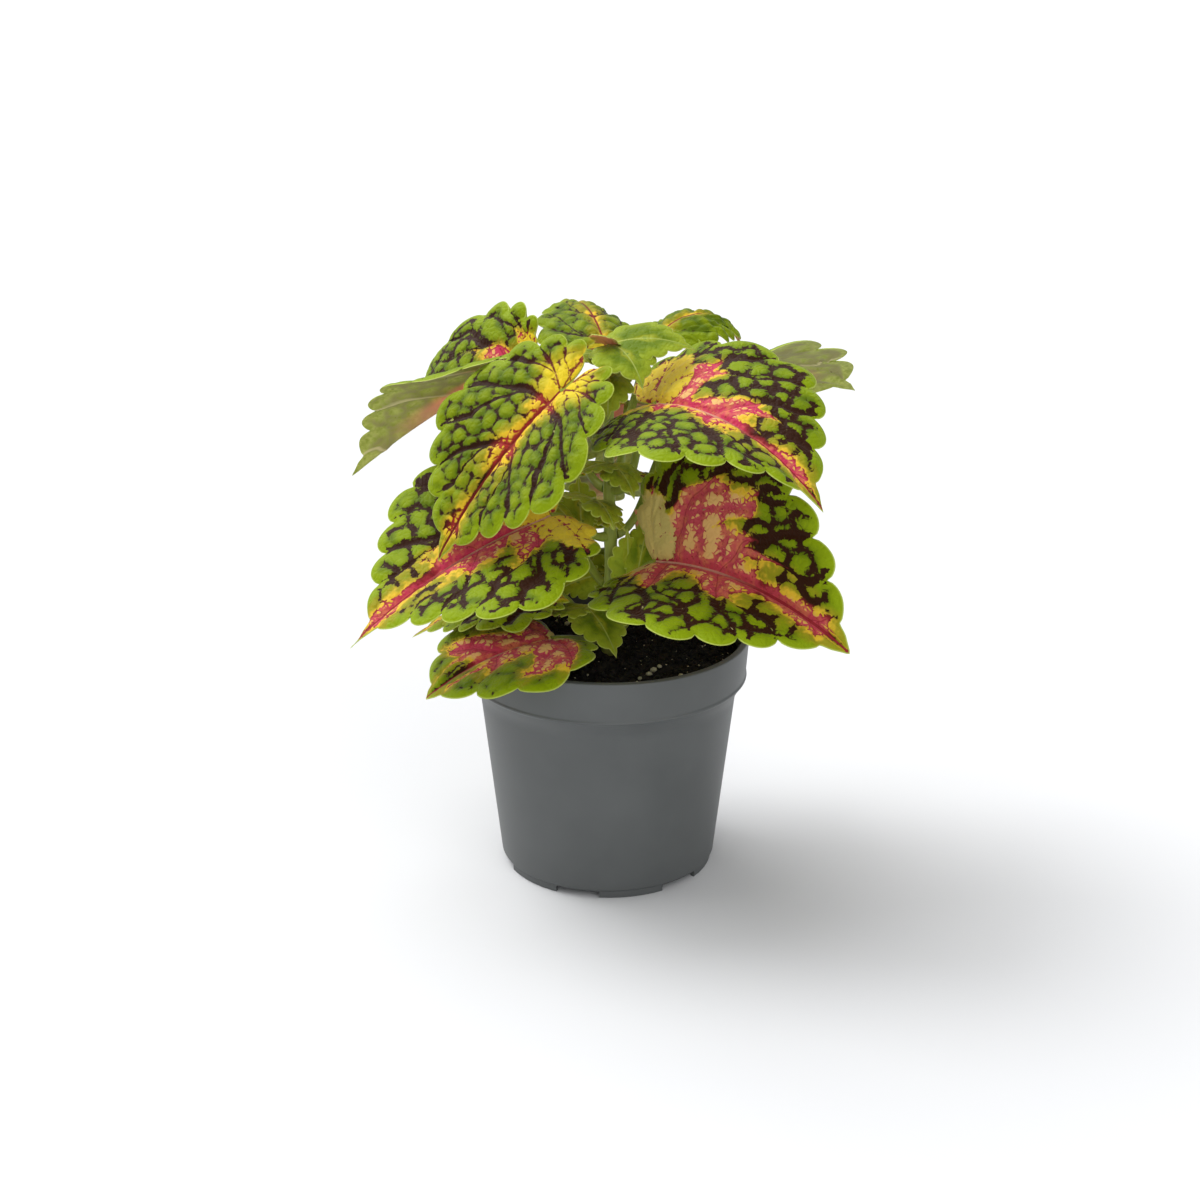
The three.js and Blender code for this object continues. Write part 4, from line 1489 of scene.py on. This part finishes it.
@dataclass
class Pot:
    """The moulded nursery pot: rim band, tapered wall, foot ring with gaps, and a floor with holes."""

    height: float = 103
    rim_radius: float = 60
    lip_width: float = 3
    band_radius: float = 58.7
    band_height: float = 17.7
    shoulder_drop: float = 7
    body_top_radius: float = 54.6
    body_foot_radius: float = 46.2
    foot_radius: float = 45
    foot_height: float = 3.4
    wall: float = 1.5
    floor: float = 1.8
    bead: float = 0.4
    sides: int = 240
    openings: int = 6
    notch: tuple = (19, 3, 14)  # width, height and depth of a gap in the foot ring
    notch_rounding: float = 0.6
    first_notch: float = -107
    hole: tuple = (4, 33)  # radius of a drain hole, and of the circle they stand on
    crease: float = 40

    def profile(self) -> np.ndarray:
        """Draw half the section of the pot, with every edge rounded as the mould leaves it.

        Returns:
            Places by radius and height, from the middle of the underside to the middle of the floor.
        """
        band = self.height - self.band_height
        shoulder = band - self.shoulder_drop
        inside = self.rim_radius - self.lip_width
        floor_top = self.foot_height + self.floor
        bead = self.band_radius + self.bead
        # radius, height and rounding of each corner
        corners = [
            (0, self.foot_height, 0), (self.foot_radius - 1.9, self.foot_height, 0.5),
            (self.foot_radius - 2.1, 0, 0.3), (self.foot_radius, 0, 0.5), (self.foot_radius + 0.1, 3.2, 0.3),
            (self.body_foot_radius, 4.1, 0.5), (self.body_top_radius, shoulder, 3.0),
            (self.band_radius - 0.5, band - 0.9, 0.5), (bead, band - 0.1, 0.25), (bead, band + 0.5, 0.25),
            (self.band_radius, band + 1.1, 0.4), (self.rim_radius, self.height, 0.8),
            (inside, self.height, 0.7), (inside - 0.5, band + 1, 3.0),
            (self.body_top_radius - self.wall, shoulder - 0.5, 3.0),
            (self.body_foot_radius - self.wall, floor_top, 1.0), (0, floor_top, 0),
        ]
        line = [np.array(corners[0][:2], float)]
        for before, here, after in zip(corners, corners[1:], corners[2:]):
            middle, ends = np.array(here[:2], float), []
            for corner in (before, after):
                way = np.array(corner[:2], float) - middle
                ends.append(middle + unit(way) * min(here[2], 0.45 * np.linalg.norm(way)))
            for w in np.linspace(0, 1, 7):
                line.append((1 - w) ** 2 * ends[0] + 2 * w * (1 - w) * middle + w**2 * ends[1])
        return np.array(line + [corners[-1][:2]])

    def build(self, finish: bpy.types.Material) -> bpy.types.Object:
        """Build and dress the pot.

        Args:
            finish: Material of the moulded plastic.

        Returns:
            The piece.
        """
        line = self.profile()
        angles = np.linspace(0, TURN, self.sides, endpoint=False)
        c, s = np.cos(angles), np.sin(angles)
        rings = [np.stack([r * c, r * s, 0 * c + z], -1) for r, z in line[1:-1]]
        shell = Shell()
        shell.add_turned(np.array(rings), line[0][1], line[-1][1])
        piece = shell.build("nursery_pot", [finish], self.crease)
        self.cut(piece)
        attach(piece, "root")
        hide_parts("pot")
        return piece

    def cut(self, piece: bpy.types.Object) -> None:
        """Cut the gaps in the foot ring and the holes in the floor.

        Args:
            piece: The turned pot.
        """
        width, height, depth = self.notch
        radius, circle = self.hole
        cutters = []
        for k in range(self.openings):
            angle = math.radians(self.first_notch + 360 / self.openings * k)
            x, y = math.cos(angle) * MM, math.sin(angle) * MM
            bpy.ops.mesh.primitive_cube_add(size=1)
            box = bpy.context.object
            box.scale = (depth * MM, width * MM, 2 * height * MM)
            box.location = (self.foot_radius * x, self.foot_radius * y, 0)
            box.rotation_euler = (0, 0, angle)
            bpy.ops.object.transform_apply(location=True, rotation=True, scale=True)
            bevel = box.modifiers.new("soft", "BEVEL")
            bevel.width = self.notch_rounding * MM
            bevel.segments = 3
            bpy.ops.object.modifier_apply(modifier="soft")
            bpy.ops.mesh.primitive_cylinder_add(
                vertices=40, radius=radius * MM, depth=10 * MM,
                location=(circle * x, circle * y, self.foot_height * MM),
            )
            cutters += [box, bpy.context.object]
        for cutter in cutters:
            boolean = piece.modifiers.new("cut", "BOOLEAN")
            boolean.object = cutter
            boolean.solver = "EXACT"
            with bpy.context.temp_override(object=piece, active_object=piece):
                bpy.ops.object.modifier_apply(modifier="cut")
            bpy.data.objects.remove(cutter)
        piece.data.set_sharp_from_angle(angle=math.radians(self.crease))


def icosahedron() -> tuple[np.ndarray, list[tuple[int, int, int]]]:
    """Make the ball that a lump of mix starts from.

    Returns:
        Its twelve corners, 1 from the middle, and its twenty faces, which look outward.
    """
    gold = (1 + 5**0.5) / 2
    corners = []
    for a in (-1, 1):
        for b in (-gold, gold):
            corners += [(0, a, b), (a, b, 0), (b, 0, a)]
    p = np.array(corners, float)
    faces = []
    for i, j, k in itertools.combinations(range(len(p)), 3):
        # the sides of a face are 2 long, and every other way across is longer
        if max(np.linalg.norm(p[a] - p[b]) for a, b in ((i, j), (j, k), (i, k))) < 2.1:
            outward = np.cross(p[j] - p[i], p[k] - p[i]) @ (p[i] + p[j] + p[k])
            faces.append((i, j, k) if outward > 0 else (i, k, j))
    return unit(p), faces


@dataclass(frozen=True)
class Strewn:
    """Loose lumps on the mix.

    count: how many there are
    inset, middle: how far from the rim they stay, and the share round the stem that they leave free
    sizes, power: range of their mean radii, before it is raised to a power
    slot: their material number
    lift: how far their middles stand above the surface, in radii
    """

    count: int
    inset: float
    middle: float
    sizes: tuple[float, float]
    power: float
    slot: int
    lift: float


@dataclass
class PottingMix:
    """Damp potting mix: a body that fills the pot, loose crumbs on its top, and a few pale grains."""

    pot: Pot
    level: float = 92
    crown: float = 2.5
    crown_spread: float = 22
    gap: float = 0.3
    rings: int = 64
    sides: int = 160
    crumbs: Strewn = Strewn(1800, 2, 0.01, (0.4, 1.55), 1.4, 0, 0.25)
    flecks: Strewn = Strewn(110, 3, 0.05, (0.25, 0.6), 1, 1, 1.6)
    # place and size of each large pale grain
    grains: tuple = ((19, -21, 2.4), (21.5, -18, 2.1), (17, -25, 1.8), (13, -29, 1.7), (-24, -34, 1.5),
                     (30, -25, 1.6), (8, -43, 1.2), (25, 30, 2.2), (-18, 34, 1.8), (-36, 14, 2.0),
                     (40, 8, 1.6), (2, 40, 1.7))
    grain_size: float = 0.75
    grain_lift: float = 0.8
    seed: int = 5

    def surface(self, x: np.ndarray, y: np.ndarray) -> np.ndarray:
        """Find the height of the top: a low crown round the stem, broad lumps and rough crumb.

        Args:
            x: Places along X.
            y: Places along Y.

        Returns:
            The heights.
        """
        crown = self.crown * np.exp(-(x * x + y * y) / self.crown_spread**2)
        broad = np.sin(0.31 * x + 1.3) * np.sin(0.37 * y + 0.4)
        fine = 0.6 * np.sin(0.71 * x - 0.53 * y + 2.1)
        rough = 0.0
        waves = ((1.7, 1.1, 0.3), (-1.2, 2.3, 1.9), (2.9, -2.1, 4.0), (3.1, 3.7, 0.7))
        for k, (p, q, r) in enumerate(waves):
            rough = rough + 0.16 * np.sin(p * x + q * y + r + 2 * np.sin(0.7 * y + k))
        return self.level + crown + 1.1 * (broad + fine) + rough

    def build(self, finish: bpy.types.Material, mineral: bpy.types.Material) -> bpy.types.Object:
        """Build and dress the mix.

        Args:
            finish: Material of the peat.
            mineral: Material of the pale grains.

        Returns:
            The piece.
        """
        pot = self.pot
        random = np.random.default_rng(self.seed)
        foot = pot.body_foot_radius - pot.wall - 1 - self.gap
        shoulder = pot.height - pot.band_height - pot.shoulder_drop
        slope = (pot.body_top_radius - pot.body_foot_radius) / shoulder
        floor_top = pot.foot_height + pot.floor + self.gap
        rim = pot.rim_radius - pot.lip_width - 0.5 - self.gap - 0.4
        body = foot + slope * (shoulder - 1 - floor_top)
        wall = [(foot, floor_top), (body, shoulder - 1), (rim, self.level - 4), (rim, self.level - 1.5)]
        angles = np.linspace(0, TURN, self.sides, endpoint=False)
        c, s = np.cos(angles), np.sin(angles)
        rings = [np.stack([r * c, r * s, 0 * c + z], -1) for r, z in wall]
        for r in np.linspace(rim - 0.8, 0.6, self.rings):
            rings.append(np.stack([r * c, r * s, self.surface(r * c, r * s)], -1))
        shell = Shell()
        shell.add_turned(np.array(rings), floor_top, float(self.surface(0.0, 0.0)))
        ball = icosahedron()
        for kind in (self.crumbs, self.flecks):
            for _ in range(kind.count):
                r = (rim - kind.inset) * math.sqrt(random.uniform(kind.middle, 1))
                a = random.uniform(0, TURN)
                place = (r * math.cos(a), r * math.sin(a))
                size = random.uniform(*kind.sizes) ** kind.power
                self.lump(shell, ball, random, place, size, kind.slot, kind.lift)
        for x, y, size in self.grains:
            self.lump(shell, ball, random, (x, y), self.grain_size * size, self.flecks.slot, self.grain_lift)
        piece = shell.build("potting_mix_body", [finish, mineral], crease=70)
        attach(piece, "root")
        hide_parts("potting_mix")
        return piece

    def lump(
        self, shell: Shell, ball: tuple, random: np.random.Generator, place: tuple[float, float],
        size: float, slot: int, lift: float,
    ) -> None:
        """Add one rough lump that sits in the surface.

        Args:
            shell: The mesh that gets it.
            ball: Corners and faces of the ball that it starts from.
            random: Source of its shape.
            place: Where on the mix its middle is.
            size: Its mean radius.
            slot: Material number.
            lift: How far its middle stands above the surface, in radii.
        """
        corners, faces = ball
        squash = np.array([random.uniform(0.7, 1.3), random.uniform(0.7, 1.3), random.uniform(0.5, 0.9)])
        turn = random.uniform(0, TURN)
        c, s = math.cos(turn), math.sin(turn)
        spin = np.array([[c, -s, 0], [s, c, 0], [0, 0, 1]])
        shape = (corners * random.uniform(0.75, 1.2, (len(corners), 1)) * squash * size) @ spin.T
        shape += np.array([*place, float(self.surface(*place)) + lift * size])
        shell.add(shape, faces, slot)


# ---------------------------------------------------------------- studio


@dataclass(frozen=True)
class Lamp:
    """A distant soft light: its strength, the breadth it shines from, and its turns, in degrees."""

    name: str
    energy: float
    breadth: float
    turn: tuple[float, float, float]


@dataclass
class Studio:
    """Camera, floor, air and soft light."""

    look_at: tuple = (-3.4, 0.0, 117.2)
    distance: float = 900
    elevation: float = 20
    lens: float = 63.96
    sensor: float = 36
    floor_size: float = 30000
    air: float = 0.44
    # a broad key from the upper left and behind, whose shadow falls to the right front; a narrower one from
    # the same side that darkens the shadow near the foot; and a weak broad fill from the front right
    lights: tuple = (
        Lamp("key", 2.6, 70, (-20, -30, 0)),
        Lamp("key_core", 1.0, 26, (-15, -33, 0)),
        Lamp("fill", 1.0, 60, (62, 0, 18)),
    )

    def build(self, finish: bpy.types.Material) -> None:
        """Set up the camera, the floor, the air and the lights.

        Args:
            finish: Material of the floor.
        """
        scene = bpy.context.scene
        lift = math.radians(self.elevation)
        optics = bpy.data.cameras.new("camera")
        optics.lens = self.lens
        optics.sensor_width = self.sensor
        optics.clip_start, optics.clip_end = 0.05, 60
        camera = bpy.data.objects.new("camera", optics)
        x, y, z = self.look_at
        camera.location = (x * MM, (y - self.distance * math.cos(lift)) * MM,
                           (z + self.distance * math.sin(lift)) * MM)
        camera.rotation_euler = (math.radians(90) - lift, 0, 0)
        scene.collection.objects.link(camera)
        scene.camera = camera

        half = 0.5 * self.floor_size * MM
        mesh = bpy.data.meshes.new("studio_floor")
        corners = [(-half, -half, 0), (half, -half, 0), (half, half, 0), (-half, half, 0)]
        mesh.from_pydata(corners, [], [(0, 1, 2, 3)])
        mesh.materials.append(finish)
        floor = bpy.data.objects.new("studio_floor", mesh)
        scene.collection.objects.link(floor)

        world = bpy.data.worlds.new("studio_air")
        scene.world = world
        world.use_nodes = True
        tree = world.node_tree
        tree.nodes.clear()
        # the air lights the plant softly, and past the end of the floor it looks as white as the paper
        near, far = [
            add_node(tree, "Background", {"Color": "#ffffff", "Strength": strength}).outputs[0]
            for strength in (self.air, 1.0)
        ]
        seen = add_node(tree, "LightPath", {}).outputs["Is Camera Ray"]
        both = add_node(tree, "MixShader", {0: seen, 1: near, 2: far})
        add_node(tree, "OutputWorld", {"Surface": both.outputs[0]})

        for light in self.lights:
            sun = bpy.data.lights.new(light.name, "SUN")
            sun.energy = light.energy
            sun.angle = math.radians(light.breadth)
            lamp = bpy.data.objects.new(light.name, sun)
            lamp.rotation_euler = [math.radians(turn) for turn in light.turn]
            scene.collection.objects.link(lamp)
        scene.view_settings.view_transform = "Standard"


# ---------------------------------------------------------------- the plant's own numbers


# name; base; heading, pitch, roll; droop, bend, twist; length, half-width; fold, curl; lobe; height on the
# stem; number of teeth on a half and their depth
LEAVES = (
    LeafForm("leaf_lowest_front_left", (-22, -21.5, 108.5), -148, 4, 0, 40, -13, -8, 62, 38, -9, 17, 0.18,
             LOWEST, 5, 4.2, skew=0.4, apex=0.34,
             marks=Markings((0.78, 0.72), 6.5, (-0.1, 0.3), (7, 7), 0.15, 1)),
    LeafForm("leaf_lowest_rear_right", (20, 22, 116), 40, 6, 4, 40, 8, 5, 72, 33, 4, 20, 0.12, LOWEST),
    LeafForm("leaf_low_front_right", (18.2, -18.8, 141), -46, 14, 44, 45, 9, 2, 103, 51, -30, -12, 0.13, LOW,
             hip=-0.04, apex=0.26, marks=Markings((0.7, 0.4), 12, (2.6, 2.0), (29, 13), 0.35, 1, 1.15),
             axil=((0.55, 60, 72, 16, 27, 9.5, 0), (0.3, 100, 84, 6, 23, 8, 0))),
    LeafForm("leaf_low_rear_left", (-18, 20, 142), 134, 0, -6, 60, -6, -6, 92, 42, 3, 22, 0.12, LOW,
             axil=((0.2, 172, -14, 24, 20, 8, -50),)),
    LeafForm("leaf_middle_front_left", (-22.2, -16, 160.5), -154, -12, -22, 29, -4, 12, 101, 49, -12, 10,
             0.16, MIDDLE, apex=-0.06, marks=Markings((0.45, 0.4), 10, (1.8, 1.8), (30, 46), 0.1, 0.1),
             axil=((0.45, 100, 72, 10, 22, 9, 0), (0.7, 150, 50, 40, 16, 8, 0))),
    LeafForm("leaf_middle_rear_right", (29, 21, 189), 25, 29, -42, 57, 16, 6, 100.5, 38, -3, 11, 0.08,
             MIDDLE, 5, 8, axil=((0.22, 12, 0, 36, 21, 9, -55),)),
    LeafForm("leaf_high_front_right", (18, -12.3, 206), -50, 14, 24, 60, 11, -28, 98, 46, -17, 24, 0.26,
             HIGH, skew=0.35, sinus=0.1, hip=-0.1,
             marks=Markings((0.5, 0.05), 9, (2.1, 1.6), (28, 14), 0, 0.15, 0.9)),
    LeafForm("leaf_high_rear_left", (-32, 32.5, 214.5), 164, -28, -24, 14, 4, 52, 101.5, 37, -48, 30,
             0.12, HIGH, marks=Markings((0.4, 0.35), 6, (1.3, 1.3), (11, 11), 0, 0, 0.9)),
    LeafForm("leaf_upper_front_left", (-18.5, -20.4, 214), -163, -41, -22, 22, -2, -7, 86, 40.5, -12, 14,
             0.35, UPPER, sinus=-0.05, hip=-0.08, age=LeafAge.YOUNG,
             marks=Markings((0, 0), 6, (1.3, 1.3), (17, 17))),
    LeafForm("leaf_upper_rear_right", (19.5, 27, 224), 34, 42, 0, 110, 5, 12, 58, 19, 6, 30, 0.08, UPPER,
             age=LeafAge.YOUNG, marks=Markings((0, 0), -12, (-1, -1), (3, 3))),
    LeafForm("leaf_side_left", (-21, 2, 120.5), 184, 0, 6, 32, 4, 4, 66, 29, 2, 18, 0.08, LOWEST),
    LeafForm("leaf_side_right", (20, 12, 138), 18, 8, -4, 46, 0, 0, 62, 27, 2, 20, 0.08, LOW),
    LeafForm("leaf_middle_rear", (1, 21, 168), 92, -3, 5, 56, 4, 4, 76, 32, 2, 22, 0.1, MIDDLE),
    LeafForm("leaf_high_rear", (8.3, 21, 198), 96, -14, -4, 52, -4, -4, 91, 30, 0, 24, 0.1, HIGH),
    LeafForm("leaf_top_rear", (-0.5, 15.5, 221.5), 102, 28, 7, 50, 3, 3, 76, 23.5, 9, 27, 0.1, TOP,
             age=LeafAge.YOUNG, marks=Markings((0, 0), 0.8, (0.4, 0.4), (12, 12))),
)

SHOOTS = (
    Shoot("shoot_front_high", (170, -86), ((0.6, -9.5, 175), (1, -11.5, 181)), (1.4, 1),
          ((0.95, -60, 5, 65, 23, 9, 0), (0.95, -140, 20, 50, 19, 8, 0)), 100),
    Shoot("shoot_front", (152, -110), ((-4, -10, 158), (-6, -12, 166)), (1.4, 1),
          ((0.95, -64, 15, 75, 22, 9, -10), (0.95, -165, 30, 40, 16, 7, 0), (0.55, -20, 5, 60, 14, 6, 10)),
          110),
    Shoot("shoot_low_front", (108, -122), ((-6, -8, 112), (-9, -10, 118)), (1.4, 1),
          ((0.95, -62, -5, 45, 30, 12, 0), (0.95, -172, 10, 40, 18, 8, 0)), 120),
    Shoot("shoot_left", (151, 150), ((-9, 5, 155), (-12.5, 6, 159)), (1.5, 1),
          ((0.96, 152, 10, 40, 30, 12, 0), (0.96, 215, 30, 40, 16, 7, 0)), 130),
    Shoot("shoot_low_rear", (113, 66), ((5, 11, 120), (6, 15, 129)), (1.5, 1.1),
          ((0.95, 92, 14, 40, 34, 14, 0), (0.55, 165, 10, 50, 22, 9, 0), (0.8, 188, 5, 16, 21, 9.5, -40)),
          140),
    Shoot("shoot_tip", None, ((0, 0, 205.5), (0.4, 0, 217), (0.8, 0, 228)), (2.1, 1.2),
          ((0.45, -92, -10, 60, 25, 10, 0), (0.97, -60, 8, 70, 31, 14, 6), (0.72, 186, 20, 30, 22, 10, 0),
           (0.98, -6, 20, 46, 36, 13, 24), (0.98, -118, 40, 30, 16, 6, 0)), 150),
)


def main() -> None:
    """Build and dress the whole part and set the studio round it."""
    logging.basicConfig(level=logging.INFO, format="%(name)s: %(message)s")
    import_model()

    def report(piece: bpy.types.Object) -> None:
        """Log the name and the face count of a finished piece."""
        log.info("%s: %d faces", piece.name, len(piece.data.polygons))

    tops = {finish.age: finish.material() for finish in (MATURE_FINISH, YOUNG_FINISH, SMALL_FINISH)}
    finishes = PlantFinishes(tops, UndersideFinish().material(), StemFinish().material())

    Studio().build(FloorFinish().material())
    pot = Pot()
    report(pot.build(PotFinish().material()))
    report(PottingMix(pot).build(MixFinish().material(), GrainFinish().material()))
    stem = Stem()
    report(stem.build(finishes.skin))
    for seed, form in enumerate(LEAVES):
        report(MainLeaf(form, seed).build(stem, finishes))
    for shoot in SHOOTS:
        report(shoot.build(stem, finishes))

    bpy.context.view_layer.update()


if __name__ == "__main__":
    main()
